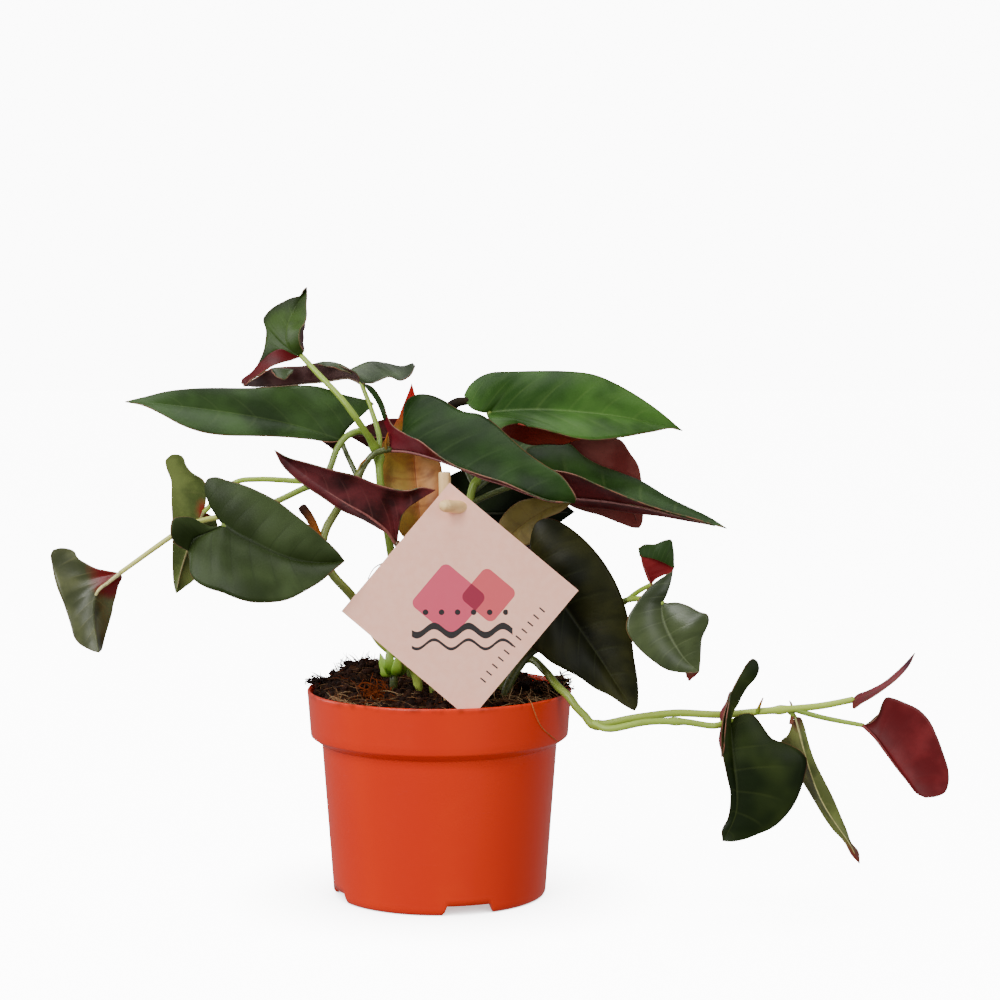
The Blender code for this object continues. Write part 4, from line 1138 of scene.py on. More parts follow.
LEAVES = {
    "leaf_top_fold": Leaf(
        (-61, -12, 245), (-59, 8, 276), (-9, -8, 0), (-0.2, -0.95, 0.1), (-0.3, -0.9, 0.3),
        Half(15, 12, 0.5, 0.1, 1.9, 0.2), Half(17, 60, 0.35, 0.05, 0.5), skin="fold", arch=0.03,
        wave=0.2,
        rib=(301.6, 356, 292, 351, 287, 343, 286.5, 335, 288.5, 323, 293.5, 311, 299.6, 299,
            307, 287),
        seen_left=Seen((256.7, 366, 259, 361.5, 263, 352, 265.3, 341.6, 266, 330.4, 263.3, 319,
            271, 309, 283.3, 302, 292, 298, 299.6, 295.7, 304, 290),
            (256.7, 366, 263, 360, 271, 353, 281, 349.2, 289.4, 353, 295, 355.5)),
        seen_right=Seen((303.5, 351.8, -14, 300.5, 344, -16, 299.6, 338, -16, 300.5, 330, -15,
            304.7, 323.3, -12, 306.5, 317, -9, 306.7, 305, -3, 307.3, 296.7, 2), size=3),
        flaps=(Flap((242, 379.5, -24, 253.7, 370, -22, 256.7, 366, -21, 263, 360, -20,
            271, 353, -18, 281, 349.2, -16, 289.4, 353, -14, 295, 355.5, -13, 301, 357, -12),
            (241, 382.5, -30, 244.5, 385.3, -30, 250.6, 380.4, -28, 261, 373.3, -26, 271, 367, -24,
            283.3, 362, -20, 292, 360, -16, 297.6, 358, -13, 301, 357, -12)),
            Flap((303.5, 352, -13, 300, 342, -15, 300.5, 331, -14, 304.7, 323, -11),
            (303.8, 352, -10, 303.5, 345, -10, 303.2, 336, -9, 304.9, 324, -8)))),
    "leaf_top_flat": Leaf(
        (-35, 9, 231), (-88, 17, 231), (0, 0, -2), (0, -0.1, 1), (0, -0.1, 1),
        Half(20, 22, 0.5, 0.1, 0.6, 0.1), Half(20, 30, 0.3, 0.42, 0.6, 0.4), skin="flat", arch=0.02,
        wave=0.2, cord=0.5,
        rib=(361, 382.5, 348.6, 377, 336, 378.5, 324, 380.5, 303.7, 382.5, 285, 385, 265, 386,
            243, 386),
        seen_left=Seen((354, 371, 4, 342, 366, 6, 333, 363, 8, 324, 361.4, 9, 314, 363.5, 10,
            303.7, 366, 10, 285, 367, 9, 271, 368.5, 9, 257, 377, 9), size=3),
        seen_right=Seen((352, 372, 16, 340, 367.5, 24, 324, 363.4, 30, 303.7, 368, 32, 285, 369, 30,
            271, 371, 27, 257, 379, 20), size=3),
        flaps=(Flap((361, 381, 9, 349, 371, 12, 357, 366, 15, 371, 361.4, 18, 385.3, 363, 18,
            403.7, 366, 16, 412.9, 363, 15),
            (361, 383, 8, 366, 383.5, 5, 371, 383.5, 3, 379, 380.4, 2, 389.4, 377.3, 3,
            399.6, 380.4, 3, 409.8, 376, 6, 415.3, 366, 13), Face.TOP),
            Flap((271, 368.2, 7, 280, 368.6, 6, 287, 369, 6, 293.5, 370, 7),
            (272, 372, 3, 277, 377, 2, 283.3, 379.8, 2, 292, 373, 4), Face.TOP),
            Flap((318, 363, 8, 330, 361.8, 8, 340, 364, 8, 350, 369, 8),
            (318, 365, 5, 330, 367, 4, 341, 370, 4, 352, 374, 5), Face.TOP))),
    "leaf_left_lance": Leaf(
        (-46, -6, 206), (-139, -16, 225), (3, 8, 6), (0, -0.75, 0.66), (0, -0.7, 0.7),
        Half(14, 12, 0.45, 0.06, 0.5, 0.7), Half(22, 12, 0.12, 0.14, 0.8, 0.6), skin="lance",
        rib=(341.4, 440.6, 322, 434, 300, 427, 270, 420, 230, 413, 190, 407.5, 155, 403.8,
            125, 401.8),
        seen_left=Seen((337, 442.5, 324, 441.6, 316, 440, 299.6, 438.2, 275, 437, 250.6, 436.5,
            222, 435, 201.6, 431.4, 181.2, 424.3, 160.8, 414, 140.4, 405)),
        seen_right=Seen((374, 404, 371, 401.5, 361, 398.8, 340.4, 393.7, 318, 387, 303.7, 386,
            275, 387, 242.4, 388, 218, 388.2, 191.4, 389, 165, 391.6, 140.4, 397.8),
            (374, 404, 365, 413, 353, 423.5, 344.5, 433.5)),
        flaps=(Flap((322, 441.4, -12, 332, 442, -10, 341, 440.6, -6),
            (326, 444.5, -10, 336.3, 449.8, -6, 342, 441, -5)),)),
    "leaf_left_burgundy": Leaf(
        (-18, -20, 164), (-70, -44, 205), (2, 0, -11), (0.5, 0, 0.85), (0.5, 0, 0.85),
        Half(27, 68, 0.08, 0.02, 0.95, 0.8), Half(22, 60, 0.2, 0.1, 0.6, 0.8), skin="burgundy",
        arch=0.1,
        rib=(397, 543, 388, 530, 371, 516, 345, 501, 318, 484, 295, 467, 274.2, 450),
        seen_left=Seen((435.5, 490, 422, 487.4, 408.7, 490, 393.4, 488.8, 374.3, 484, 355, 475.4,
            332, 469.7, 309, 464, 290, 458.2),
            (435.5, 490, 418, 501, 407, 509, 401.5, 516.5, 399.2, 526)),
        seen_right=Seen((392, 537, 378, 528.5, 361, 519, 341.8, 510.5, 322.6, 498, 307.3, 487.5,
            294, 476.6, 282.4, 465))),
    "leaf_left_heart": Leaf(
        (-92, -50, 173), (-40, -54, 158), (0, -4, 0), (-0.1, -0.95, 0.3), (0, -0.95, 0.3),
        Half(21, 14, 0.1, 0.22, 0.9, 0.4), Half(30, 14, 0.34, 0.4, 0.5, 0.1), skin="heart",
        arch=0.08, wave=0.3,
        rib=(222.8, 525, 236, 534, 252, 542, 270, 551, 290, 558.5, 312, 562.5, 345, 561),
        seen_left=Seen((204.5, 486, 207, 479.3, 215.5, 477, 226, 480, 244, 485, 261.5, 492.6,
            278.6, 502, 294, 513.7, 311, 527, 328.4, 542.4, 338, 552),
            (204.5, 486, 206, 495.5, 210.7, 507, 217.4, 517.5)),
        seen_right=Seen((187.5, 550.5, 190, 562.4, 190.6, 574, 193.5, 579, 206, 587.3, 223, 593,
            236.5, 598.8, 251.8, 602.6, 267, 602.6, 286.3, 599.8, 305.4, 591, 322.6, 580.6,
            334, 570),
            (187.5, 550.5, 193, 539, 206, 532.5)),
        flaps=(Flap((187.5, 550.5, -56, 193, 539, -54, 206, 532.5, -52, 222.8, 525.5, -50),
            (183, 548.5, -60, 175.3, 543.3, -63, 170, 531, -66, 172, 520, -65, 181, 517, -60,
            191.6, 518.4, -55, 200, 524.5, -52, 211, 527.3, -51, 222.8, 525, -50), Face.TOP),)),
    "leaf_left_edge": Leaf(
        (-103, -24, 181), (-118, -14, 138), (0, 4, 0), (0.1, 1, 0.2), (0, 1, 0),
        Half(20, 12, -0.2, 0.34, 0.7, 0.6), Half(16, 30, 0.2, 0.15), skin="edge",
        rib=(204, 512, 196, 530, 187, 552, 180, 575, 176.3, 593.5),
        seen_left=Seen((171, 454.8, 165.7, 460, 166.7, 469, 170.5, 480, 171.5, 497, 172.4, 517,
            172.4, 547, 173, 570, 174, 585),
            (171, 454.8, 178, 454.5, 183, 457, 185.5, 464.5, 191, 472, 204, 481, 206, 496)),
        seen_right=Seen((216, 520, 214, 545, 203, 566, 193.5, 580, 185, 586.5))),
    "leaf_far_left": Leaf(
        (-140, -30, 151), (-151, -34, 115), (-13, 2, 12), (0, 1, 0.1), (0, 1, 0),
        Half(22, 10, 0.28, -0.15, 0.5, 0.8), Half(16, 55, 0.4, -0.02, 0.5, 0.2), skin="far",
        cord=0.9, cord_reach=0.36,
        rib=(120, 573, 109, 581.7, 98, 591, 94, 605, 94.5, 622, 97, 640, 99, 652.8),
        seen_left=Seen((53, 549.8, 50.8, 554, 51.5, 563.3, 53.8, 576, 57.2, 587.4, 61.8, 599,
            66.4, 612.7, 71.6, 628.7, 74, 636.8, 79, 643.6, 86, 648.2, 94, 651.7),
            (53, 549.8, 59, 548, 67, 548.4, 74, 551, 77.5, 557.6, 86, 563.3, 95, 568,
            106.6, 570.8)),
        seen_right=Seen((121.5, 578.5, 118, 585, 115.8, 594.3, 113.5, 603.5, 112.3, 612.7,
            109, 625.3, 105.4, 635.6, 102, 646))),
    "leaf_centre": Leaf(
        (-21, -12, 204), (60, -48, 182), (0, 0, 12), (0, -0.45, 0.9), (0, -0.9, 0.45),
        Half(30, 10, 0.28, 0.04, 0.7, 0.2), Half(24, 50, 0.25, 0.12, 0.9, 0.4, 2.0), skin="centre",
        arch=0.05,
        rib=(390, 449, 408, 450.5, 426, 455, 444, 461, 463, 468.7, 481, 477, 505, 484.8, 528, 493.8,
            551, 501.3, 575, 503),
        seen_left=Seen((404, 420, 403.8, 411, 407.6, 400, 416.7, 395.3, 430.5, 395.7, 444.3, 401,
            456, 408, 463, 411, 478.7, 413.6, 494.8, 424, 508.6, 436.6, 527, 452.7, 545.3, 465.3,
            561.4, 475.6, 570.6, 487, 576.3, 498),
            (404, 420, 402, 432, 396, 442)),
        seen_right=Seen((362, 383, -8, 371, 386, -8, 379, 395, -9, 384, 405, -10, 387.5, 416, -12,
            392, 425, -15, 405, 434.3, -20, 419, 441, -24, 435, 452.5, -28, 453.5, 464, -32,
            468, 470.5, -36, 481, 475.8, -38, 505, 483.7, -42, 528, 492.7, -45, 551, 500.3, -47),
            (362, 383, -8, 367, 389, -9, 374, 398, -10, 380, 410, -10, 384.6, 423, -11,
            389, 436, -12), size=3),
        flaps=(Flap((362, 383, -8.6, 367, 389, -9.6, 374, 398, -10.6, 380, 410, -11, 384, 421, -12),
            (362, 383, -8.6, 371, 386, -9, 379, 395, -9.8, 384, 405, -11, 387, 415, -12.8),
            Face.TOP),)),
    "leaf_right_top": Leaf(
        (30, 8, 222), (111, 14, 210), (0, 0, 6), (0.05, -0.65, 0.76), (0.05, -0.65, 0.76),
        Half(21, 12, 0.3, 0.23, 0.5), Half(22, 12, 0.4, 0.2, 0.5, 0.6), skin="bright",
        rib=(489, 413, 508, 411, 540, 410, 580, 412.5, 620, 417, 655, 424, 682.6, 430.8),
        seen_left=Seen((464, 395, 468.4, 387, 478.7, 378, 490, 373.4, 508.6, 371.8, 540.7, 370.7,
            568.3, 371.8, 596, 375.7, 619, 385, 637, 395.3, 653, 406.7, 669.3, 419.4),
            (464, 395, 466, 402, 471, 408, 480, 412)),
        seen_right=Seen((500, 430, 507.4, 425, 517.8, 423.3, 531.5, 427.4, 554.5, 433, 577.4, 437.7,
            600.4, 439.6, 623.4, 437.7, 651, 431.5, 671.6, 428),
            (500, 430, 494, 425, 489, 419)),
        flaps=(Flap((501, 427, 0, 507.4, 422, 1, 517.8, 420, 1, 531.5, 424, 1, 554.5, 430, 1,
            580, 435, 0),
            (504, 434, 10, 515, 440, 12, 530, 444, 13, 545, 445, 13, 562, 444, 10,
            582, 439.5, 2)),)),
    "leaf_right_back": Leaf(
        (53, 26, 195), (93, 34, 163), (0, 0, 0), (0.1, 0.95, 0.3), (0.1, 0.95, 0.3),
        Half(14, 12, 0.3, 0.2, 0.5), Half(26, 10, 0.35, 0.2, 0.6, 0.2), skin="back",
        rib=(556, 452, 585, 466, 612, 485, 632, 508, 639.5, 528),
        seen_left=Seen((545, 465, 555, 490, 572, 507, 584.3, 511.5, 600.4, 515.5, 621, 523.5,
            634.8, 528)),
        seen_right=Seen((560, 440, 575, 438, 600, 437, 621, 440, 630, 452.7, 638.3, 465.3,
            641.3, 479, 643, 500, 643.3, 515, 641.5, 525))),
    "leaf_right_lance": Leaf(
        (41, 2, 183), (128, -24, 169), (-6, 6, 2), (0.1, -0.15, 0.98), (0.1, -0.15, 0.98),
        Half(29, 45, 0.14, 0.1, 0.8, 1.0), Half(24, 50, 0.12, 0.1, 0.7, 1.0), skin="keel",
        arch=0.08, wave=0.2,
        rib=(530, 482, 552, 492, 575, 497, 600, 499.5, 621, 502.5, 644, 507, 667, 512.5, 690, 518.3,
            726.7, 528.4),
        seen_left=Seen((527, 460, 14, 527, 448, 20, 540.7, 444.6, 22, 570.6, 444.6, 22,
            579.7, 453.8, 20, 595.8, 464, 16, 621, 473.3, 11, 641.7, 481.4, 6, 667, 496.3, -2,
            690, 507.8, -10, 710.6, 518, -17), size=3),
        seen_right=Seen((530, 472, -8, 545, 469.5, -14, 559, 471, -17, 575, 474.5, -19,
            598, 484.8, -21, 621, 495, -22, 644, 504.3, -23, 667, 511.6, -24, 690, 517.3, -24),
            size=3),
        flaps=(Flap((560, 494, 2, 575, 497.5, 0, 600, 500, -3, 621, 503, -7, 644, 507.5, -11,
            667, 513, -15, 690, 518.8, -19, 715, 525.3, -22),
            (563, 503, 8, 582, 507, 6, 600, 508.5, 4, 621, 511, 1, 641.7, 514, -3, 667, 517.5, -9,
            690, 521, -15, 715, 526, -21)),)),
    "leaf_right_dark": Leaf(
        (45, -16, 141), (87, -30, 88), (0, 0, 0), (0, -0.95, 0.25), (0, -0.95, 0.25),
        Half(31, 12, 0.08, 0.38, 0.65, 0.3), Half(26, 20, 0.05, 0.3, 0.6, 0.6), skin="dark",
        arch=0.07,
        rib=(541, 575, 560, 600, 582, 632, 602, 662, 620, 690, 634.4, 711),
        seen_left=Seen((532, 532, 536, 523, 541.5, 519.3, 551, 518.6, 559.6, 521.6, 573, 530,
            588, 543, 601, 558, 612.7, 576.3, 621, 594.5, 626.8, 612.8, 631, 632.7, 634.2, 657.5,
            637.5, 679, 638.4, 695.7, 636.9, 708),
            (532, 532, 530, 546, 534, 562)),
        seen_right=Seen((508, 600, 510, 620, 520, 638, 531.4, 647, 541.4, 654.5, 549.6, 661.7,
            563, 669, 579.5, 677.4, 596, 689, 609.3, 695.7, 624.3, 705.6),
            (508, 600, 520, 592, 531, 583))),
    "leaf_bronze": Leaf(
        (-6, -8, 162), (-13, 17, 232), (0, 0, 0), (0, -0.95, 0.2), (0, -0.95, 0.2),
        Half(16, 15, 0.42, 0.08, 0.5, 1.0), Half(14, 15, 0.42, 0.08, 0.5, 1.0), skin="bronze",
        arch=0.1,
        rib=(425, 545, 420, 515, 416, 480, 414, 450, 413, 420, 412, 398, 411.7, 383),
        seen_left=Seen((404, 538, 394, 522, 383, 500, 379, 480, 379, 462, 382, 445, 391, 430,
            397.5, 419, 402, 408, 407.3, 395)),
        seen_right=Seen((438, 535, 443, 515, 444, 495, 442, 470, 437, 450, 430, 430, 422, 410,
            415.5, 396))),
    "leaf_bronze_low": Leaf(
        (29, 0, 165), (58, 6, 177), (0, 0, 0), (0, -0.8, 0.6), (0, -0.8, 0.6),
        Half(10, 15, 0.4, 0.08, 0.5, 0.6), Half(9, 15, 0.4, 0.08, 0.5, 0.6), skin="bronze_low",
        cord=0.4,
        rib=(508, 538, 520, 527, 534, 517, 551, 508, 572, 503),
        seen_left=Seen((499, 524, 506, 512, 517, 503, 535, 498, 555, 498)),
        seen_right=Seen((519, 545, 529, 544, 537, 530, 541.4, 521, 549, 517, 560, 512))),
    # This leaf lies in shade, and its skin paints that shade into its colours.
    "leaf_shade": Leaf(
        (12, 16, 172), (62, 24, 172), (0, 0, 0), (0, 1, 0.2), (0, 1, 0.2), Half(22, 12, 0.3, 0.2),
        Half(22, 12, 0.3, 0.2), skin="shade"),
    "leaf_left_back": Leaf(
        (-10, 16, 206), (-42, 14, 208), (0, 0, 0), (0, 1, 0.2), (0, 1, 0.2), Half(9, 12, 0.3, 0.15),
        Half(9, 12, 0.3, 0.15), skin="burgundy", cord=0.4),
    "leaf_right_cup": Leaf(
        (93, -30, 146), (88, -31, 161), (-1, 0, 0), (-0.1, 1, 0), (-0.1, 1, 0),
        Half(14, 8, 0.25, -0.01, 0.7, 0.6), Half(18, 148, 0.9, -0.01, 0.3, 0.0), skin="cup",
        wave=0.1, cord=0.3,
        rib=(651, 584.5, 647.5, 575, 643.5, 565, 640.5, 555),
        seen_left=Seen((656, 579, 663, 575.5, 672.4, 571.3, 674.5, 566.5, 673.2, 561.6, 661, 557,
            651, 554.5, 645, 554.2)),
        seen_right=Seen((648.5, 581, 645, 573, 641.7, 562.5)),
        flaps=(Flap((639.5, 556.5, -31, 650, 558, -30.5, 661, 561.5, -30, 674, 568, -29),
            (638.4, 548.2, -31, 643.3, 544.8, -29, 655.8, 544, -28, 664, 540.6, -28,
            670.7, 539.5, -28, 673.2, 548, -28.5, 674.2, 560, -29), Face.TOP),)),
    "leaf_right_small": Leaf(
        (98.5, -38, 138.5), (115.5, -44, 108.5), (0, 0, 0), (-0.1, -0.95, 0.2), (-0.1, -0.95, 0.2),
        Half(14.5, 18, 0.46, -0.04, 0.35, 0.8), Half(20, 12, 0.25, 0.36, 0.5, 0.2, 1.35),
        skin="small", arch=0.09, wave=0.2,
        rib=(662.4, 602.8, 662.5, 614, 668, 632, 677, 648, 688, 662.5, 699.5, 671.6),
        seen_left=Seen((667.4, 603, 677.3, 602.5, 689, 606, 700.5, 612, 708, 614.8, 709.2, 619.4,
            706.3, 628.5, 702.2, 637.6, 701, 651, 700.5, 662.5)),
        seen_right=Seen((673.2, 570.5, 664, 576.3, 652.4, 584.6, 642.5, 594.5, 634.2, 606,
            627.6, 617.7, 626.3, 629.3, 631, 639.3, 639.2, 649.2, 652.4, 660.8, 667.4, 670,
            680.6, 672.4, 692.2, 673),
            (673.2, 570.5, 671.5, 579.6, 667.4, 593)),
        flaps=(Flap((685, 672, -45, 692.2, 672.5, -45, 699.3, 671.6, -44.5),
            (686.5, 676.5, -42, 688.3, 680, -41, 698.5, 673, -44)),)),
    "leaf_runner_green": Leaf(
        (130, -34, 84), (126, -36, 31), (2, -4, 0), (0.25, -0.95, 0), (0.2, -0.95, 0),
        Half(34, 10, 0.35, -0.22, 0.95, 0.0), Half(16, 80, 0.1, 0.54, 0.8, 0.4, 0.8, 65),
        skin="runner", arch=0.07,
        rib=(730.7, 719.6, 731, 740, 733, 765, 736, 790, 735, 815, 729, 830, 722.5, 841),
        seen_left=Seen((737, 717, 745, 713.5, 752, 713.8, 758, 719.6, 765.5, 730.4, 771.3, 738,
            786.2, 743.6, 799.5, 750.3, 805.6, 756.5, 804, 777.6, 801, 789, 794.5, 804,
            784.6, 817.4, 773, 827.4, 758, 834, 743, 839.8, 730, 842)),
        seen_right=Seen((757.5, 661, -34, 753, 658.3, -34, 747.3, 663, -35, 741.5, 673, -36,
            735.7, 683, -38, 730.7, 692, -40, 726, 704, -42, 723, 716, -43, 722, 730, -43,
            722, 745, -42, 723.5, 760, -41, 727, 779, -39, 730, 792.6, -38, 730, 806, -37,
            727.4, 819, -36, 721.6, 830.7, -36),
            (757.5, 661, -34, 759.4, 668, -34, 756, 677.3, -34, 748, 686.4, -34, 741.5, 696.4, -34,
            738, 704, -34, 733, 712, -34), size=3),
        flaps=(Flap((731, 691.5, -41, 728.5, 706, -43, 726.5, 718, -44, 725, 733, -44,
            724, 748, -43, 722.5, 757, -41),
            (730, 692, -38, 724.9, 703, -36, 721.3, 713, -35, 720, 726, -34, 720, 743, -34,
            721.5, 757, -36)),)),
    "leaf_runner_pale": Leaf(
        (159, -26, 84), (188, -30, 19), (-4, 0, -2), (0, 1, 0.2), (0, 1, 0.2),
        Half(13, 55, 0.3, 0.1, 0.6, 0.8), Half(13, 55, 0.3, 0.1, 0.6, 0.8), skin="pale", cord=0.4,
        rib=(795, 717, 799.5, 733, 803.6, 749.4, 809.4, 769.3, 824.4, 805.8, 836, 824, 849.2, 843,
            859.5, 863.5),
        seen_left=Seen((790.9, 726, 788, 734.5, 781.5, 741, 790, 765, 802.8, 782.6, 814.4, 802.5,
            822.7, 815.8, 832.7, 829, 844.3, 842, 852, 856)),
        seen_right=Seen((801, 718, 804.5, 726, 808.6, 741, 814.4, 759.4, 822.7, 777.6, 832.7, 797.5,
            841, 815.8, 847.6, 830.7, 851.5, 842.3, 858, 851)),
        flaps=(Flap((789.3, 700.5, -24, 791, 706, -25, 791, 714, -26, 789, 724, -27),
            (789.6, 700.3, -24, 793, 706, -26, 795, 714, -27, 792, 725, -28)),)),
    "leaf_runner_slim": Leaf(
        (184, -24, 91), (211, -30, 115), (2, 0, -4), (-0.6, 0, 0.75), (-0.6, 0, 0.75),
        Half(8, 30, 0.4, 0.1, 0.6, 0.7), Half(8, 30, 0.4, 0.1, 0.6, 0.7), skin="slim", cord=0.4,
        wave=0.1,
        rib=(852.6, 699.7, 866, 695.5, 884, 686.5, 897.5, 676, 907, 665, 914.8, 653),
        seen_left=Seen((858, 694.5, -20, 865.8, 691.4, -18, 884, 682.3, -18, 895.7, 673, -21,
            905.6, 663, -26), size=3),
        seen_right=Seen((854, 708.8, -30, 861, 704, -32, 871, 698, -34, 884, 689, -35,
            899, 677.3, -34, 909, 665.7, -32), size=3)),
    "leaf_runner_red": Leaf(
        (189, -28, 82), (223, -30, 50), (0, 0, 0), (0.1, 0.95, 0.1), (0.1, 0.95, 0.1),
        Half(16, 68, 0.5, 0.05, 0.5, 0.1), Half(23, 8, 0.35, 0.05, 0.6, 0.0), skin="red",
        rib=(863.3, 725.4, 874, 736, 884, 749.4, 895.7, 766, 907.3, 781, 918, 794, 926, 797.8),
        seen_left=Seen((870, 722, -20, 884, 712, -15, 900, 716, -12, 914, 730, -12, 924, 752, -14,
            929, 775, -18, 929, 791, -24), size=3),
        seen_right=Seen((872.4, 721.3, 879, 713, 882.4, 703, 886.5, 697, 892.3, 698, 905.6, 703,
            919, 709.6, 928.8, 719.6, 937, 736, 943.8, 754.4, 948.7, 771, 948.7, 784.3,
            945.4, 792.6, 935.5, 797))),
    "leaf_back_low": Leaf(
        (4, 84, 124), (2, 112, 66), (0, 14, 8), (0.1, 0.9, 0.4), (0, 1, -0.2),
        Half(21, 14, 0.2, 0.25), Half(21, 14, 0.2, 0.25)),
    "leaf_back_right": Leaf(
        (36, 66, 150), (60, 108, 104), (4, 8, 10), (0.3, 0.8, 0.5), (0.3, 0.9, 0.1),
        Half(19, 14, 0.2, 0.25), Half(19, 14, 0.2, 0.25)),
    "leaf_back_high": Leaf(
        (34, 50, 196), (56, 104, 200), (0, 4, 10), (0.1, 0.2, 1), (0.1, 0.4, 0.9),
        Half(20, 14, 0.2, 0.15), Half(20, 14, 0.2, 0.15)),
    "leaf_back_left": Leaf(
        (2, 46, 160), (-6, 104, 150), (0, 6, 10), (0, 0.4, 1), (0, 0.7, 0.7),
        Half(20, 14, 0.2, 0.25), Half(20, 14, 0.2, 0.25)),
}


def at(name: str) -> Place:
    """Returns the place where a leaf's petiole ends."""
    leaf = LEAVES[name]
    return tuple(leaf.rib_line()[0]) if leaf.rib else leaf.base


# Stems


PALE, LIME, MID, OLIVE, DEEP = 0x96B23E, 0x78952E, 0x62762A, 0x4E5725, 0x2F3E11
CREAM, WINE = 0xCECE6E, 0x461814


def blend(low: Colour, high: Colour, share: Array) -> Array:
    """Returns the linear mixes of two colours, one for each share."""
    return np.outer(1 - share, linear(low)) + np.outer(share, linear(high))


@dataclass(frozen=True)
class Branch:
    """A tube from its foot to its end, with a radius and a colour at each."""

    start: float
    end: float
    places: list[Place] | Array
    low: Colour
    high: Colour
    joints: Trace = ()           # (share along, swelling in millimetres)
    joint_reach: float = 2.6     # how far from its middle a swelling fades, in millimetres
    rough: float = 0.05          # how uneven its radius is

    def patch(self, sides: int = 14, step: float = 1.5) -> Patch:
        """The tube: its radius runs evenly from start to end, with a soft bump at each joint.

        Args:
            sides: Points in a ring.
            step: The rings' distance, in millimetres.

        Returns:
            The tube, with its length along and its share around for the material.
        """
        route = smooth_route(self.places, step)
        share = np.linspace(0, 1, len(route))
        radii = self.start + (self.end - self.start) * share
        length = float(np.linalg.norm(np.diff(route, axis=0), axis=1).sum())
        for place, swell in self.joints:
            radii = radii + swell * np.exp(-((share - place) * length / self.joint_reach) ** 2)
        radii = radii * (1 + self.rough * layered_noise(route, 9.0, 5, 2))
        ring = np.linspace(0, 1, sides + 1)[None, :]
        along = np.concatenate([np.zeros(2), share * length, np.full(2, length)])[:, None]
        vein = np.stack([along / 100 + 0 * ring, ring + 0 * along], axis=-1)
        return sweep(route, radii, sides, tone=blend(self.low, self.high, ease(share)), vein=vein)


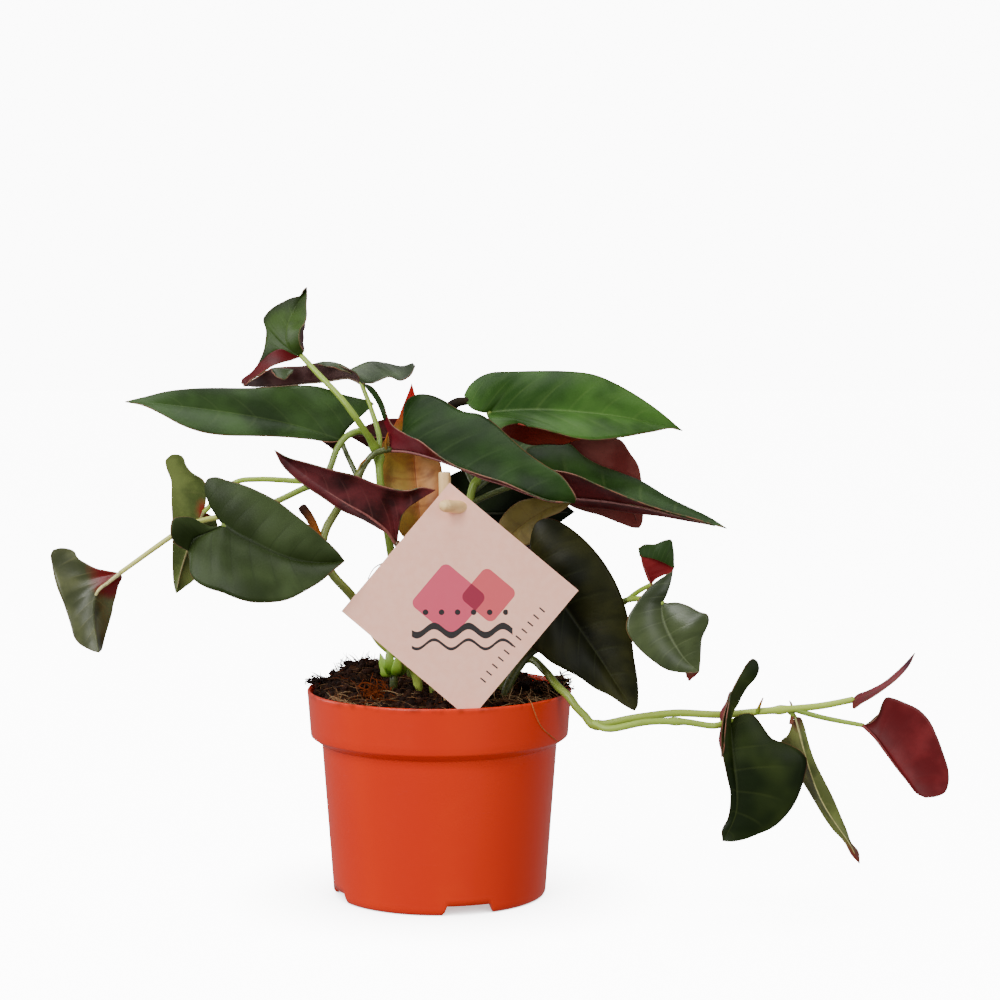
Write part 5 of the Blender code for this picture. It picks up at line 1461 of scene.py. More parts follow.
STEMS = {
    "stem_centre": [
        Branch(2.2, 1.7, [(-12, 2, 74), (-12, 2, 93), (-18, -3, 134), (-22, -9, 160),
            (-26, -10, 187), (-27, -8, 203)], DEEP, LIME, ((0.97, 0.9),)),
        Branch(1.7, 1.2, [(-27, -8, 201), (-31, -15, 209), (-37, -21, 219), (-44, -20, 228),
            (-53, -16, 237), at("leaf_top_fold")], LIME, PALE, ((0.08, 0.9),)),
        Branch(1.4, 1.0, [(-27, -8, 202), (-27, -1, 209), (-31, 5, 221), at("leaf_top_flat")], LIME,
            PALE),
        Branch(1.6, 1.4, [(-27, -8, 202), (-33, -11, 211), (-40, -14, 210), (-45, -16, 204),
            (-48, -18, 196), (-52, -20, 189)], LIME, MID),
        Branch(1.3, 1.1, [(-48, -17, 195), (-52, -20, 190), (-61, -22, 190), (-79, -24, 191),
            (-91, -25, 189), at("leaf_left_edge")], PALE, PALE),
        Branch(1.5, 1.1, [(-48, -17, 195), (-52, -20, 189), (-59, -22, 187), (-70, -26, 182),
            (-83, -30, 177), (-96, -31, 175), (-108, -32, 172), (-118, -31, 166),
            at("leaf_far_left")], LIME, CREAM),
    ],
    "stem_left": [
        Branch(2.2, 1.8, [(-9, -13, 74), (-9, -13, 92), (-12, -16, 106), (-26, -20, 118),
            (-37, -23, 137), (-47, -25, 149), (-51, -26, 159), (-50, -24, 168), (-45, -20, 177),
            (-35, -14, 193)], 0xB0C854, 0x646E30, ((0.97, 0.7),)),
        Branch(1.3, 1.1, [(-36, -15, 191), (-39, -12, 197), (-41.6, -9, 202),
            at("leaf_left_lance")], DEEP, DEEP),
        Branch(1.6, 1.3, [(-36, -15, 191), (-32, -14, 198), (-28, -14, 202), at("leaf_centre")],
            OLIVE, DEEP),
        Branch(1.6, 1.2, [(-51, -26, 159), (-61, -32, 160), (-77, -42, 165), at("leaf_left_heart")],
            MID, MID),
    ],
    "stem_crown": [
        Branch(2.4, 1.6, [(-1, -18, 74), (-2, -18, 96), (-9, -20, 137), (-15, -20, 155),
            at("leaf_left_burgundy")], MID, WINE),
        Branch(1.8, 1.3, [(-2, -18, 98), (-4, -10, 120), (-5, -8, 140), at("leaf_bronze")], LIME,
            PALE),
    ],
    "stem_right": [
        Branch(2.3, 1.8, [(6, 8, 74), (6, 7, 92), (9, 3, 134), (14, 1, 180), (18, 2, 190)], DEEP,
            LIME),
        Branch(1.7, 1.3, [(17, 2, 187), (21, 4, 200), (25, 6, 211), at("leaf_right_top")], LIME,
            MID),
        Branch(1.5, 1.2, [(14, 1, 178), (28, 2, 184), at("leaf_right_lance")], DEEP, DEEP),
        Branch(1.5, 1.2, [(16, 2, 184), (26, 8, 191), (40, 20, 198), at("leaf_right_back")], DEEP,
            DEEP),
        Branch(1.5, 1.2, [(9, 3, 134), (15, 2, 150), at("leaf_bronze_low")], DEEP, OLIVE),
        Branch(1.5, 1.2, [(9, 4, 130), (10, 12, 155), at("leaf_shade")], DEEP, DEEP),
        Branch(1.5, 1.0, [(16, 3, 186), (8, 12, 198), at("leaf_left_back")], DEEP, DEEP),
    ],
    "stem_low_right": [
        Branch(2.4, 1.6, [(30, -18, 74), (30, -18, 94), (38, -16, 109), (47, -14, 118),
            (49, -15, 131), at("leaf_right_dark")], DEEP, DEEP),
        Branch(1.7, 1.2, [(40, -15, 111), (54, -10, 120), (70, -10, 129), (82, -14, 135),
            (89, -26, 138), at("leaf_right_small")], DEEP, PALE),
        Branch(1.2, 1.0, [(83, -16, 135), (89, -24, 141), at("leaf_right_cup")], LIME, PALE),
    ],
    "stem_back": [
        Branch(2.4, 1.6, [(0, 24, 74), (0, 24, 92), (2, 34, 130), (4, 60, 146), (5, 76, 138),
            at("leaf_back_low")], MID, LIME, ((0.3, 0.6),)),
        Branch(1.7, 1.2, [(1, 28, 110), (14, 40, 138), (26, 54, 152), at("leaf_back_right")], MID,
            LIME),
        Branch(1.7, 1.2, [(1, 27, 106), (18, 32, 150), (28, 38, 180), at("leaf_back_high")], MID,
            LIME),
        Branch(1.7, 1.2, [(2, 30, 118), (2, 36, 145), at("leaf_back_left")], MID, LIME),
    ],
    "runner": [
        Branch(2.0, 1.5, [(27, -2, 74), (27, -2, 92), (32, -2, 103), (41, -6, 108), (48, -18, 104),
            (53, -27, 99), (58, -32, 95), (61, -34, 91), (65, -35, 87), (70, -36, 83),
            (86, -36, 86), (105, -34, 88), (125, -32, 87), (142, -30, 88), (158, -28, 89),
            (171, -26, 90), at("leaf_runner_slim")], MID, 0xAAC244, ((0.45, 0.7),
            (0.84, 0.6))),
        Branch(1.6, 1.4, [(68, -36, 84), (76, -40, 82), (92, -40, 85), (108, -39, 85),
            (122, -38, 83), at("leaf_runner_green")], PALE, PALE, ((0.6, 0.5),)),
        Branch(1.3, 1.0, [(157, -28, 89), (171, -28, 85), at("leaf_runner_red")], LIME, PALE),
        Branch(1.3, 1.0, [(155, -28, 89), at("leaf_runner_pale")], LIME, PALE),
    ],
}


def stem_material() -> bpy.types.Material:
    """Makes a smooth juicy stem: its own colour, with fine streaks along it and dull spots."""
    nodes = Nodes("stem_skin")
    along, around = nodes.uv("vein")
    node = nodes.add("ShaderNodeCombineXYZ", inputs={0: along * 0.1, 1: around * 0.02})
    streaks = nodes.noise(0.9, 2, node.outputs[0])
    mottle = nodes.noise(9, 2)
    colour = nodes.mix(streaks.ramp(0.35, 0.75) * 0.16, nodes.tone(), 0xC4CC78)
    colour = nodes.mix(mottle.ramp(0.5, 0.8) * 0.25, colour, 0x483E18)
    normal = nodes.relief(streaks, 0.05, 0.5)
    return nodes.finish(colour, nodes.noise(4, 2) * 0.16 + 0.32, normal)


# The pot and its peat


@dataclass(frozen=True)
class Pot:
    """The nursery pot's sizes, as in the part's source."""

    rim: float = 60.0
    height: float = 94.0
    band_foot: float = 58.5
    band_level: float = 72.7
    neck: float = 53.4
    neck_level: float = 69.8
    foot: float = 48.5
    wall: float = 1.5
    floor_low: float = 4.6
    floor_thick: float = 1.6
    skirt: float = 2.2
    pad: float = 13.0
    notch_width: float = 22.0
    notch_height: float = 4.2
    notch_turn: float = 17.0
    holes: int = 8
    hole: float = 3.2
    hole_ring: float = 30.0
    hole_turn: float = math.radians(22.5)
    steps: int = 288
    notches: int = 4
    notch_slope: float = 1.8
    drill: tuple[float, float] = (2.0, 8.0)    # from below the floor to above it
    drill_steps: int = 24

    def profile(self) -> Array:
        """Returns the shell's section, from the rim down the outside and back up the inside."""
        top, foot, neck, rim = self.height, self.foot, self.neck, self.rim
        band, level, skirt = self.band_foot, self.band_level, foot - self.skirt
        floor_top = self.floor_low + self.floor_thick
        return dense([
            (rim - 0.75, top), (rim - 0.3, top - 0.1), (rim - 0.05, top - 0.5), (rim, top - 1.1),
            (rim - 0.12, top - 2.0), (rim - 0.2, top - 3.0), (band + 0.02, level + 0.9),
            (band - 0.15, level + 0.4), (band - 0.6, level), (neck + 0.7, self.neck_level + 0.2),
            (neck + 0.3, self.neck_level), (neck, self.neck_level - 0.6), (foot + 0.02, 3.0),
            (foot - 0.15, 1.4), (foot - 0.7, 0.4), (foot - 1.5, 0.0), (skirt, 0.0),
            (skirt, self.floor_low), (self.pad + 0.6, self.floor_low), (self.pad, 0.0), (0.0, 0.0),
            (0.0, floor_top), (foot - self.wall - 2, floor_top),
            (foot - self.wall + 0.2, floor_top + 2), (neck - self.wall, self.neck_level + 0.6),
            (band - self.wall - 0.4, level + 1.2), (band - self.wall, level + 2.4),
            (rim - self.wall - 0.2, top - 0.8), (rim - 1.1, top - 0.15), (rim - 0.75, top)], 4.0)

    def build(self) -> bpy.types.Object:
        """Turns the section, lifts the skirt's lower edge to form the notches and drills the floor.

        Returns:
            The shell.
        """
        grid = lathe(self.profile(), self.steps)
        x, y, z = grid[..., 0], grid[..., 1], grid[..., 2]
        turn = np.arctan2(x, -y) - math.radians(self.notch_turn)
        part = math.tau / self.notches
        offset = np.abs((turn + part / 2) % part - part / 2) * self.foot
        reach = (self.notch_width + self.notch_slope) / 2
        depth = ease((reach - offset) / self.notch_slope) * self.notch_height
        skirted = (np.hypot(x, y) > self.foot - self.skirt - 0.1) & (z < self.notch_height)
        grid[..., 2] = np.where(skirted, np.maximum(z, depth), z)
        shell = make_piece("pot_shell", [grid_patch(grid)], [self.material()])
        low, high = self.drill
        section = np.array([(0, low), (self.hole, low), (self.hole, high), (0, high)])
        rod = lathe(section, self.drill_steps)
        turns = np.arange(self.holes) * math.tau / self.holes + self.hole_turn
        drill = make_piece("pot_drill", [
            grid_patch(rod + self.hole_ring * np.array([math.cos(turn), math.sin(turn), 0]))
            for turn in turns], [])
        cut = shell.modifiers.new("drain_holes", "BOOLEAN")
        cut.operation = "DIFFERENCE"
        cut.object = drill
        bake(shell)
        bpy.data.objects.remove(drill)
        return shell

    def material(self) -> bpy.types.Material:
        """Makes moulded orange plastic: a soft sheen, flow marks, darker brown patches at the rim's
        top and scuffs.
        """
        nodes = Nodes("pot_plastic")
        z = nodes.parts(nodes.place())[2]
        flow = nodes.noise(45, 2, stretch=(1, 1, 0.25))
        cloud = nodes.noise(16, 3)
        colour = nodes.mix(flow.ramp(0.35, 0.7), 0xD62B02, 0xDE3203)
        colour = nodes.mix(cloud.ramp(0.55, 0.8) * 0.2, colour, 0xE44008)
        # Darker brown patches in the top few millimetres of the rim, inside and out.
        rim_top_patches = z.ramp(0.0905, 0.0938) * nodes.noise(6, 4).ramp(0.4, 0.7)
        colour = nodes.mix(rim_top_patches * 0.5, colour, 0x5A1E0A)
        grain = nodes.noise(0.4, 2)
        scratch = nodes.noise(3, 2, stretch=(0.15, 0.15, 6)).ramp(0.68, 0.75)
        normal = nodes.relief(grain * 0.4 + scratch + flow, 0.05, 0.35)
        return nodes.finish(colour, cloud * 0.1 + 0.28, normal, Specular_IOR_Level=0.28)


PEAT_RIM = 57.2
PEAT_LEVEL = 90.3
PEAT_TILT = -0.055    # rise for each millimetre across
PEAT_MOUND = 3.2
PEAT_WAVES = 7
HEAPS = (             # rise, middle across and front to back, reach across and front to back
    (6.0, -38, 34, 24, 16),
    (4.0, 47, 6, 9, 13),
    (4.5, 38, 36, 16, 13),
)


def peat_height(x: Array, y: Array) -> Array:
    """The peat's surface: level, tilt, mound and waves as in the part's source, heaps and clods.

    Args:
        x: Places across.
        y: Places front to back.

    Returns:
        Heights in millimetres.
    """
    rng = np.random.default_rng(11)
    inset = np.clip(1 - np.hypot(x, y) / PEAT_RIM, 0, 1)
    relief = 0
    for i in range(PEAT_WAVES):
        kx, ky = rng.uniform(-0.35, 0.35, 2) * (1 + 0.3 * i)
        relief = relief + np.sin(kx * x + ky * y + rng.uniform(0, math.tau)) / (1 + 0.25 * i)
    spot = np.stack([x, y, 0 * x], axis=-1)
    clods = np.abs(layered_noise(spot, 7.0, 21, 4)) * 4.2 + layered_noise(spot, 2.0, 31, 3) * 1.6
    swell = PEAT_TILT * x + PEAT_MOUND * inset * (2 - inset)
    for rise, across, back, wide, deep in HEAPS:
        swell = swell + rise * np.exp(-((x - across) / wide) ** 2 - ((y - back) / deep) ** 2)
    relief, clods = relief * np.minimum(1, 0.4 + 6 * inset), clods * np.minimum(1, 0.15 + 5 * inset)
    return PEAT_LEVEL + swell + relief + clods


@dataclass(frozen=True)
class Tuft:
    """Thin curled fibres that gather round a place."""

    count: int
    centre: Place
    reach: Place                       # how far from the centre, along each axis
    length: tuple[float, float]        # the least and the greatest
    radius: float                      # the thickest
    tones: tuple[Colour, ...]
    rise: float                        # how steeply they may stand
    past: float = -0.6                 # how far past the peat's edge they may reach
    swell: tuple[float, ...] = (0.02, 0.7, 1, 1, 1, 0.7, 0.02)    # the rings' radii, as shares

    def places(self, rng: np.random.Generator) -> Array:
        """Scatters the fibres' middles, over the whole peat where the reach is that wide.

        Args:
            rng: The random numbers.

        Returns:
            Places on the peat or above it, (count, 3).
        """
        spot = np.array(self.centre) + rng.normal(size=(self.count, 3)) * self.reach * 0.5
        if self.reach[0] > PEAT_RIM / 2:
            radius = np.sqrt(rng.uniform(0, 1, self.count))
            angle = rng.uniform(0, math.tau, self.count)
            spot[:, :2] = PEAT_RIM * (radius * np.stack([np.cos(angle), np.sin(angle)])).T
        spot[:, 2] = np.maximum(spot[:, 2], peat_height(spot[:, 0], spot[:, 1]) + 0.3)
        return spot

    def patch(self, rng: np.random.Generator) -> Patch:
        """Makes the fibres, each a bent tube with four sides.

        A fibre runs both ways from its place: point(s) = place + ahead * s + bend * s^2, with a
        hump that lifts it off the peat.

        Args:
            rng: The random numbers.

        Returns:
            All of them.
        """
        rings, sides = len(self.swell), 4
        spot = self.places(rng)
        ahead = unit(rng.normal(size=(self.count, 3)) * [1, 1, self.rise])
        bend = rng.normal(size=(self.count, 3)) * [1, 1, 0.5 * self.rise]
        share = np.linspace(-0.5, 0.5, rings)[None, :, None]
        span = rng.uniform(*self.length, (self.count, 1, 1))
        bow = bend[:, None] * share ** 2 * span * 0.5
        route = spot[:, None] + ahead[:, None] * share * span + bow
        route[..., 2] += (0.25 - share[..., 0] ** 2) * span[..., 0] * 0.25
        away = np.hypot(route[..., 0], route[..., 1])
        route[..., :2] *= np.minimum(1, (PEAT_RIM + self.past) / np.maximum(away, 1))[..., None]
        floor = peat_height(route[..., 0], route[..., 1])
        route[..., 2] = np.maximum(route[..., 2], floor - 0.2)
        tangent = unit(np.gradient(route, axis=1))
        side = unit(np.cross(tangent, [0.3, 0.2, 1.0]))
        up = np.cross(tangent, side)
        turn = (np.arange(sides + 1) * math.tau / sides)[None, None, :, None]
        thick = self.radius * rng.uniform(0.5, 1.0, (self.count, 1, 1, 1))
        thick = thick * np.array(self.swell)[None, :, None, None]
        circle = np.cos(turn) * side[:, :, None] + np.sin(turn) * up[:, :, None]
        grid = route[:, :, None] + thick * circle
        size = rings * (sides + 1)
        quads = grid_quads(rings, sides + 1)[None] + size * np.arange(self.count)[:, None, None]
        tones = np.array([linear(tone) for tone in self.tones])
        tone = tones[rng.integers(0, len(tones), self.count)]
        return Patch(grid.reshape(-1, 3), quads.reshape(-1, 4), tone=np.repeat(tone, size, axis=0))


TAN, RUSTY, DARK, STRAW = 0x705034, 0x642B08, 0x1E0C06, 0xA08460
TUFTS = (
    Tuft(420, (0, 0, 88), (56, 56, 1), (5, 16), 0.22, (TAN, RUSTY, DARK, TAN), 0.25),
    Tuft(90, (-36, -40, 90), (22, 9, 1), (6, 18), 0.2, (TAN, STRAW, RUSTY), 0.35),
    Tuft(150, (-28, -30, 95), (7, 5, 6), (4, 10), 0.26, (RUSTY, 0x7C360E), 1.0),
    Tuft(40, (34, -36, 89), (16, 7, 1), (8, 20), 0.24, (STRAW, TAN), 0.5),
    Tuft(60, (-56, 12, 95), (6, 8, 1), (5, 12), 0.34, (DARK, 0x160804), 0.3, 5.0),
    Tuft(90, (55, -2, 96), (5, 9, 3), (4, 9), 0.4, (DARK, DARK, RUSTY, STRAW), 0.8, 4.0),
    Tuft(160, (-36, 40, 98), (22, 10, 2), (5, 13), 0.26, (DARK, DARK, RUSTY), 0.9),
    Tuft(60, (38, -26, 92), (18, 12, 1), (9, 22), 0.22, (STRAW, TAN, TAN), 0.7),
)


@dataclass(frozen=True)
class Peat:
    """The peat body with its loose crumbs and fibres."""

    crumbs: int = 1700
    crumb_size: tuple[float, float] = (0.5, 2.9)       # the least and the greatest side
    crumb_stretch: tuple[float, float] = (0.5, 1.3)    # by how much each side differs from it
    crumb_shift: float = 0.22                          # how far a corner moves, as a share
    crumb_tone: Colour = 0x22110A
    crumb_shade: tuple[float, float] = (0.4, 2.2)      # how dark and how light they are beside it
    crumb_inset: float = 0.8                           # how far from the edge they stay
    seed: int = 4
    rings: int = 84
    steps: int = 240
    edge_drop: float = 1.2    # how far the surface falls at its very edge
    side: Trace = ((56.9, 84.0), (56.2, 75.5), (51.4, 71.2), (48.9, 40.0), (46.5, 8.7), (44.3, 6.5),
                   (20.0, 6.5), (0.0, 6.5))    # radii and heights below the surface

    def body(self) -> Patch:
        """Returns a turned body whose top follows the peat's surface."""
        share = np.linspace(0, 1, self.rings)[:, None]
        radii = np.linspace(0, PEAT_RIM, self.rings)
        grid = lathe(np.concatenate([np.stack([radii, 0 * radii], axis=1), self.side]), self.steps)
        top = grid[:self.rings]
        top[..., 2] = peat_height(top[..., 0], top[..., 1]) - share ** 12 * self.edge_drop
        return grid_patch(grid)

    def crumb_patch(self, rng: np.random.Generator) -> Patch:
        """Small clods: cubes with moved corners, turned at random and strewn over the surface.

        Args:
            rng: The random numbers.

        Returns:
            All of them.
        """
        count = self.crumbs
        corners = np.array(list(np.ndindex(2, 2, 2)), float) - 0.5
        quads = np.array([(0, 1, 3, 2), (4, 6, 7, 5), (0, 4, 5, 1), (2, 3, 7, 6), (0, 2, 6, 4),
                          (1, 5, 7, 3)])
        size = rng.uniform(*self.crumb_size, (count, 1, 1))
        size = size * rng.uniform(*self.crumb_stretch, (count, 1, 3))
        shift = rng.uniform(-self.crumb_shift, self.crumb_shift, (count, 8, 3))
        shape = (corners + shift) * size
        turns = np.linalg.qr(rng.normal(size=(count, 3, 3)))[0]
        radius = (PEAT_RIM - self.crumb_inset) * np.sqrt(rng.uniform(0, 1, count))
        angle = rng.uniform(0, math.tau, count)
        x, y = radius * np.cos(angle), radius * np.sin(angle)
        spot = np.stack([x, y, peat_height(x, y) + 0.15], axis=-1)
        points = shape @ turns + spot[:, None]
        shade = linear(self.crumb_tone) * rng.uniform(*self.crumb_shade, (count, 1))
        index = quads[None] + 8 * np.arange(count)[:, None, None]
        return Patch(points.reshape(-1, 3), index.reshape(-1, 4), tone=np.repeat(shade, 8, axis=0))

    def build(self) -> list[bpy.types.Object]:
        """Returns the peat, its crumbs and its fibres."""
        rng = np.random.default_rng(self.seed)
        return [
            make_piece("peat_body", [self.body()], [self.material()]),
            make_piece("peat_crumbs", [self.crumb_patch(rng)],
                       [crumb_material("peat_crumb", 0.95)]),
            make_piece("peat_fibres", [tuft.patch(rng) for tuft in TUFTS],
                       [crumb_material("peat_fibre", 0.8)]),
        ]

    def material(self) -> bpy.types.Material:
        """Makes moist peat: its own dark brown, made near-black in the hollows by painted shade,
        with brown crumbs and rusty flecks.
        """
        nodes = Nodes("peat")
        fine, coarse = nodes.noise(1.3, 4), nodes.noise(7, 3)
        # Painted shade: the colour follows the relief's fine noise, so the peat is near-black where
        # the relief is low.
        colour = nodes.mix(fine.ramp(0.35, 0.65), 0x1A0702, 0x3C200D)
        colour = nodes.mix(coarse.ramp(0.6, 0.75) * 0.4, colour, 0x4A240C)
        normal = nodes.relief(fine + coarse, 0.9, 0.9)
        return nodes.finish(colour, fine * 0.2 + 0.75, normal, Specular_IOR_Level=0.12)


def crumb_material(name: str, roughness: float) -> bpy.types.Material:
    """Makes loose or dried bits: each its own colour, darker in fine spots.

    Args:
        name: The material's name.
        roughness: How dull it is.

    Returns:
        The material.
    """
    nodes = Nodes(name)
    fine = nodes.noise(0.8, 3)
    colour = nodes.mix(fine.ramp(0.4, 0.7) * 0.4, nodes.tone(), 0x160804)
    return nodes.finish(colour, roughness, nodes.relief(fine, 0.15), Specular_IOR_Level=0.15)


# The label


@dataclass(frozen=True)
class Print:
    """The card's print: a plain geometric pattern, in millimetres from the card's middle.

    A place is (across, deep, up), either level with the ground or turned with the card's edges.
    """

    nodes: Nodes
    level: tuple[Value, ...]
    turned: tuple[Value, ...]

    def box(self, middle: tuple[float, float], half: float, corner: float) -> Value:
        """A square with round corners, where the distance past its core is below the corner.

        Args:
            middle: Its middle, across and up.
            half: Half its side.
            corner: The corners' radius.

        Returns:
            1 in it, 0 outside.
        """
        wide = (abs(self.turned[0] - middle[0]) - (half - corner)).most(0.0)
        high = (abs(self.turned[2] - middle[1]) - (half - corner)).most(0.0)
        return (wide * wide + high * high).ramp((corner + 0.1) ** 2, (corner - 0.1) ** 2)

    def wave(self, level: float, half: float) -> Value:
        """A level band round the curve of level + 2 sin(across).

        Args:
            level: Its height.
            half: Half its stroke.

        Returns:
            1 in it, 0 outside.
        """
        rise = self.nodes.math("SINE", self.level[0] * (math.tau / 15)) * 2.0
        away = abs(self.level[2] - rise - level)
        return away.ramp(half + 0.12, half - 0.12) * abs(self.level[0] - 1).ramp(22.2, 21.8)

    def dots(self) -> Value:
        """Returns a row of round dots above the bands, at even steps across."""
        wide = self.nodes.math("PINGPONG", self.level[0] + 99, 3.5)
        high = self.level[2] + 5.0
        return (wide * wide + high * high).ramp(1.7, 1.3) * abs(self.level[0] - 1).ramp(20.2, 19.8)

    def ticks(self) -> Value:
        """Returns a row of short thin ticks along one edge."""
        line = self.nodes.math("PINGPONG", self.turned[0] + 100, 2.0).ramp(0.42, 0.25)
        ends = abs(self.turned[2] + 30).ramp(1.7, 1.4)
        return line * ends * abs(self.turned[0]).ramp(22.2, 21.8)


@dataclass(frozen=True)
class Label:
    """The printed card, the stake behind it and the whittled pin through its hole."""

    centre: Place = (10.0, -45.5, 139.5)
    turn: float = 50.0          # degrees in its own plane
    lean: float = 10.0          # degrees backwards
    side: float = 73.5
    hole_right: float = 5.5     # from the upper right edge to the hole's middle
    hole_left: float = 10.0     # from the upper left edge
    stake_foot: Place = (5.5, -31.0, 70.0)
    stake_top: Place = (3.0, -29.0, 194.5)
    stake_radius: float = 2.7
    stake_sides: int = 28
    worn: float = 0.93          # the radius at the stake's very ends, as a share
    pin_ahead: Place = (-0.62, -0.74, 0.12)
    pin_form: Trace = ((-3.2, 3.0), (1.5, 3.0), (4, 2.8), (6, 2.9), (9, 2.9), (10.8, 2.3))
    pin_sides: int = 22
    uneven: float = 0.02        # how uneven both are, as a share of the radius

    def card_material(self) -> bpy.types.Material:
        """Makes matte pink card with rose squares, two bands, a row of dots and ticks in front."""
        nodes = Nodes("card_print")
        place, flat = nodes.place(), (1000, 1000, 1000)
        for settings in ({"Location": [-value * MM for value in self.centre]},
                         {"Rotation": (math.radians(self.lean), 0, 0), "Scale": flat},
                         {"Rotation": (0, math.radians(self.turn), 0)}):
            node = nodes.add("ShaderNodeMapping", inputs={"Vector": place, **settings})
            level, place = place, node.outputs[0]
        motif = Print(nodes, nodes.parts(level), nodes.parts(place))
        fibre = nodes.noise(3, 4)
        paper = nodes.mix(fibre.ramp(0.3, 0.7), 0xFCBAA1, 0xFFC2AA)
        first, second = motif.box((-3, 4), 12, 3), motif.box((10, -8), 9, 3)
        printed = nodes.mix(first * 0.92, paper, 0xCB2857)
        printed = nodes.mix(second * 0.92, printed, 0xCB3549)
        printed = nodes.mix(first * second, printed, 0x8E0331)
        ink = motif.wave(-13.0, 1.5).most(motif.wave(-19.0, 0.7)).most(motif.dots())
        printed = nodes.mix(ink.most(motif.ticks()), printed, 0x0D0202)
        colour = nodes.mix(motif.level[1].ramp(0.0, -0.3), paper, printed)
        normal = nodes.relief(nodes.noise(0.5, 2), 0.03, 0.25)
        return nodes.finish(colour, fibre * 0.12 + 0.5, normal)

    def wood_material(self, name: str, ends: Colour, stretch: Place) -> bpy.types.Material:
        """Makes bare birch: fine long grain and small dark flecks.

        Args:
            name: The material's name.
            ends: The flecks' colour.
            stretch: How much tighter the grain is along each axis.

        Returns:
            The material.
        """
        nodes = Nodes(name)
        grain = nodes.noise(2.2, 4, stretch=stretch)
        flecks = nodes.noise(1.2, 3).ramp(0.62, 0.72)
        colour = nodes.mix(grain.ramp(0.35, 0.7), 0xFCD698, 0xE8BC7E)
        colour = nodes.mix(flecks * 0.35, colour, ends)
        return nodes.finish(colour, 0.62, nodes.relief(grain, 0.18, 0.7))

    def hole(self) -> Array:
        """Returns the middle of the card's hole."""
        across, up = self.side / 2 - self.hole_right, self.side / 2 - self.hole_left
        turn, lean = math.radians(-self.turn), math.radians(-self.lean)
        x = across * math.cos(turn) + up * math.sin(turn)
        z = -across * math.sin(turn) + up * math.cos(turn)
        return np.array(self.centre) + [x, -z * math.sin(lean), z * math.cos(lean)]

    def stake(self) -> bpy.types.Object:
        """Builds the stake, a round rod with slightly worn sawn ends."""
        foot, top = np.array(self.stake_foot), np.array(self.stake_top)
        share = np.concatenate([[0, 0.004], np.linspace(0.02, 0.98, 60), [0.994, 1.0]])[:, None]
        route = foot * (1 - share) + top * share
        radii = self.stake_radius * (1 + self.uneven * layered_noise(route, 12.0, 3, 2))
        radii[[0, -1]] *= self.worn
        return make_piece("stake_rod", [sweep(route, radii, self.stake_sides, dome=0.08)], [
            self.wood_material("stake_wood", 0x966236, (1, 1, 0.1))])

    def pin(self) -> bpy.types.Object:
        """Builds the pin, a short rod whose radius follows its form along its axis."""
        lengths, radii = np.array(self.pin_form).T
        along = np.linspace(lengths[0], lengths[-1], 40)
        route = self.hole() + unit(np.array(self.pin_ahead)) * along[:, None]
        shape = np.interp(along, lengths, radii)
        shape = shape * (1 + self.uneven * layered_noise(route, 4.0, 9, 2))
        peg = sweep(route, shape, self.pin_sides, flat=0.97, dome=0.4)
        return make_piece("pin_peg", [peg], [
            self.wood_material("pin_wood", 0xAA6438, (0.15, 0.15, 1))])


# The studio


class Side(Enum):
    """A soft light: its place, its width and height, and its strength."""

    KEY = ((-1.0, -1.45, 1.0), (0.7, 1.5), 40.0)
    FILL = ((1.0, -1.4, 0.7), (0.5, 1.4), 8.5)
    EDGE = ((-1.55, 0.55, 0.6), (0.5, 1.4), 11.0)
    FAR = ((1.5, 0.7, 0.8), (0.7, 1.2), 2.0)
    TOP = ((-0.1, 0.1, 1.7), (1.3, 1.1), 20.0)


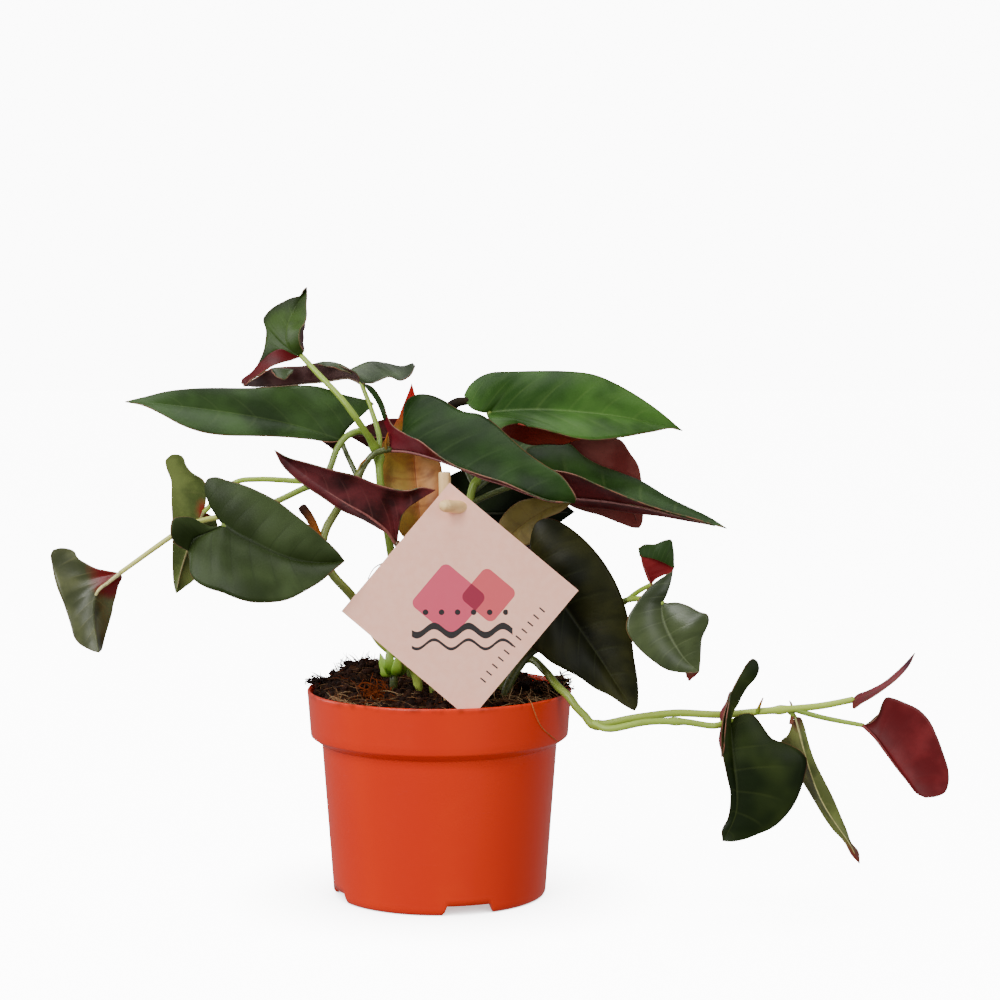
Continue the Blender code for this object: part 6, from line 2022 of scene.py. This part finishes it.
@dataclass(frozen=True)
class Studio:
    """The camera at the photograph's angle, the pale floor and the soft lights."""

    lens: float = 100.0
    sensor: float = 36.0
    clip: tuple[float, float] = (0.01, 50.0)
    floor_side: float = 9.0
    floor_drop: float = 0.0002    # how far the floor lies below the pot's foot
    aim: Place = (0.02, 0.0, 0.14)
    white: float = 11.0       # how bright the backdrop is
    ambient: float = 0.38     # how strongly it lights the plant

    def build(self) -> None:
        """Makes the camera, the floor, the world and the lights."""
        scene = bpy.context.scene
        data = bpy.data.cameras.new("camera")
        data.lens = self.lens
        data.sensor_width = self.sensor
        data.clip_start, data.clip_end = self.clip
        camera = bpy.data.objects.new("camera", data)
        camera.location = EYE * MM
        camera.rotation_euler = (math.tau / 4 - PITCH, 0, 0)
        scene.collection.objects.link(camera)
        scene.camera = camera
        half = self.floor_side / 2
        corners = np.array([(-half, -half, 0), (half, -half, 0), (half, half, 0), (-half, half, 0)])
        floor = make_piece("floor", [Patch(corners / MM, np.array([(0, 1, 2, 3)]))],
                           [self.floor_material()], outward=False)
        floor.location.z = -self.floor_drop
        floor.visible_diffuse = False
        floor.visible_glossy = False
        scene.world = self.world()
        for side in Side:
            self.light(side)

    def world(self) -> bpy.types.World:
        """Returns a white backdrop whose light on the plant is a small share of what is seen."""
        world = bpy.data.worlds.new("studio")
        nodes = Nodes(world.name, world)
        path = nodes.add("ShaderNodeLightPath")
        share = nodes.add("ShaderNodeMapRange", inputs={
            "Value": path.outputs["Is Camera Ray"], "To Min": self.ambient, "To Max": self.white})
        nodes.feed(nodes.shader.inputs["Strength"], share.outputs["Result"])
        nodes.feed(nodes.shader.inputs["Color"], (1.0, 1.0, 1.0))
        return world

    def floor_material(self) -> bpy.types.Material:
        """Returns a floor that glows as bright as the backdrop, with a painted contact shadow: the
        glow is darker by the pot's foot.
        """
        nodes = Nodes("floor")
        # Painted contact shadow: ambient occlusion darkens the floor's glow near the pot.
        near = nodes.add("ShaderNodeAmbientOcclusion", {"samples": 8}, {"Distance": 0.06})
        share = Value(nodes, near.outputs["AO"])
        glow_with_painted_shadow = nodes.mix(share, (0.05, 0.05, 0.05), (1, 1, 1))
        nodes.feed(nodes.shader.inputs["Emission Color"], glow_with_painted_shadow)
        nodes.shader.inputs["Emission Strength"].default_value = self.white
        return nodes.finish((0.9, 0.9, 0.9), 0.9)

    def light(self, side: Side) -> None:
        """Adds a soft oblong light that looks at the plant.

        Args:
            side: Which one.
        """
        place, size, power = side.value
        data = bpy.data.lights.new(f"light_{side.name.lower()}", "AREA")
        data.shape = "RECTANGLE"
        data.size, data.size_y = size
        data.energy = power
        lamp = bpy.data.objects.new(data.name, data)
        lamp.location = place
        aim = Vector(self.aim) - Vector(place)
        lamp.rotation_euler = aim.to_track_quat("-Z", "Y").to_euler()
        bpy.context.scene.collection.objects.link(lamp)


# The whole


RUST = 0x964E14
HUSK = Branch(1.6, 2.1, seen_run((322, 550, -26, 318, 537, -26, 313, 524, -26, 308, 515, -25,
                                  302.5, 508, -24)), 0xC47028, 0x2C140A)
BITS = (
    Branch(0.9, 0.3, seen_run((386, 450, -13, 386, 441, -15, 388, 433, -15)), 0x786428, RUST),
    Branch(0.7, 0.4, seen_run((358, 471, -15, 361, 464, -17, 366, 459, -17)), 0xB0B260, RUST),
    Branch(1.1, 0.3, seen_run((757, 713, -31, 760, 705, -32, 763, 698, -32)), LIME, 0x963C1E),
    Branch(0.35, 0.2, seen_run((390, 560, -9, 377, 566, -17, 372, 571, -20, 368, 579, -21)),
           0xA07846, RUST),
    Branch(2.7, 1.9, seen_run((449, 408, 8.5, 457, 402.5, 8, 467, 401, 8.5)), 0x140E07, 0x261E0E),
    Branch(1.2, 1.0, seen_run((677, 722, -38, 683, 721, -38.5)), 0x784218, 0x643C16),
    Branch(0.22, 0.17, seen_run((524, 692, -12, 528, 698.5, -28, 531.5, 703.3, -43.5,
                                 541, 726, -38.8, 558, 742, -26)), 0xC48250, 0xBE7846),
)


@dataclass(frozen=True)
class Petal:
    """A small folded blade of the sprout."""

    foot: Place
    middle: Place
    tip: Place
    width: float
    shade: float            # how light it is beside the others
    low: Colour = 0x4A8014
    high: Colour = 0x92B83E
    flat: float = 0.24      # its thickness, as a share of its width
    sides: int = 16

    def patch(self) -> Patch:
        """Returns a flat tube: radius(s) = width * sin(pi s^0.8)^0.8 at the share s."""
        route = smooth_route([self.foot, self.middle, self.tip], 0.5)
        share = np.linspace(0.02, 0.98, len(route))
        radii = self.width * np.sin(math.pi * share ** 0.8) ** 0.8
        tone = blend(self.low, self.high, share) * self.shade
        return sweep(route, radii, self.sides, flat=self.flat, tone=tone)


STUB = Branch(1.6, 1.8, [(-19, -20, 80), (-20, -20, 94), (-20, -20, 102)], DEEP, DEEP)
PETALS = (
    Petal((-21, -19, 102), (-24, -22.5, 106.5), (-26, -22.5, 113), 2.5, 1.25),
    Petal((-18, -19, 102), (-16, -23, 107), (-14.8, -22, 113), 2.6, 0.85),
    Petal((-20, -19.5, 102), (-21.4, -24.5, 108.5), (-22.4, -24.2, 116), 2.6, 1.05),
    Petal((-19.5, -20, 102), (-18.4, -25.5, 106.5), (-18, -26, 113.5), 2.4, 1.25),
    Petal((-21, -20.5, 102), (-24, -25, 103.5), (-25.4, -26, 108), 1.8, 0.95),
)


@dataclass
class Plant:
    """The potted plant: every piece, dressed and fixed to the frame."""

    skins: dict[str, list[bpy.types.Material]] = field(default_factory=dict)

    def fix(self, piece: bpy.types.Object, slot: str, *nodes: str) -> None:
        """Fixes a piece to the root body and hides the CAD nodes that it replaces.

        Args:
            piece: The object.
            slot: Not used.
            *nodes: The CAD nodes that it stands for.
        """
        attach(piece, ROOT)
        if nodes:
            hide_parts(*nodes)
        log.info("%s: %d faces", piece.name, len(piece.data.polygons))

    def build_pot(self) -> None:
        """The pot and the peat."""
        self.fix(Pot().build(), "pot", "pot")
        body, crumbs, fibres = Peat().build()
        self.fix(body, "soil", "soil")
        self.fix(crumbs, "soil")
        self.fix(fibres, "soil")

    def build_label(self) -> None:
        """The card keeps its CAD solid; the stake and the pin are finer rods."""
        label = Label()
        material = label.card_material()
        for slot in frame["nodes"]["label_card"].material_slots:
            slot.material = material
        self.fix(label.stake(), "wood", "label_stake")
        self.fix(label.pin(), "wood", "label_pin")

    def build_stems(self) -> None:
        """The stems and the runner."""
        skin = stem_material()
        for name, branches in STEMS.items():
            patches = [branch.patch() for branch in branches]
            self.fix(make_piece(name + "_skin", patches, [skin]), "stem", name)

    def build_leaves(self) -> None:
        """The leaves."""
        slots = {entry["node"]: entry["material_slot"] for entry in frame["record"]["subparts"]}
        for name, leaf in LEAVES.items():
            if leaf.skin not in self.skins:
                self.skins[leaf.skin] = SKINS[leaf.skin].materials(leaf.skin)
            blade = leaf.build(name.replace("leaf", "blade"), self.skins[leaf.skin])
            self.fix(blade, slots[name], name)

    def build_small(self) -> None:
        """The sprout, the dried sheath, and the dried bits along the stems."""
        sprout = [STUB.patch(), *(petal.patch() for petal in PETALS)]
        self.fix(make_piece("sprout_shoot", sprout, [stem_material()]), "sprout", "sprout")
        dried = crumb_material("dried_skin", 0.75)
        self.fix(make_piece("sheath_husk", [HUSK.patch()], [dried]), "dry_sheath", "dry_sheath")
        bits = [bit.patch(8, 1.0) for bit in BITS]
        self.fix(make_piece("dried_bits", bits, [dried]), "dry_sheath")


def main() -> None:
    """Builds the studio and the plant in order."""
    logging.basicConfig(level=logging.INFO, format="%(name)s: %(message)s")
    Studio().build()
    plant = Plant()
    plant.build_pot()
    plant.build_label()
    plant.build_stems()
    plant.build_leaves()
    plant.build_small()


if __name__ == "__main__":
    main()
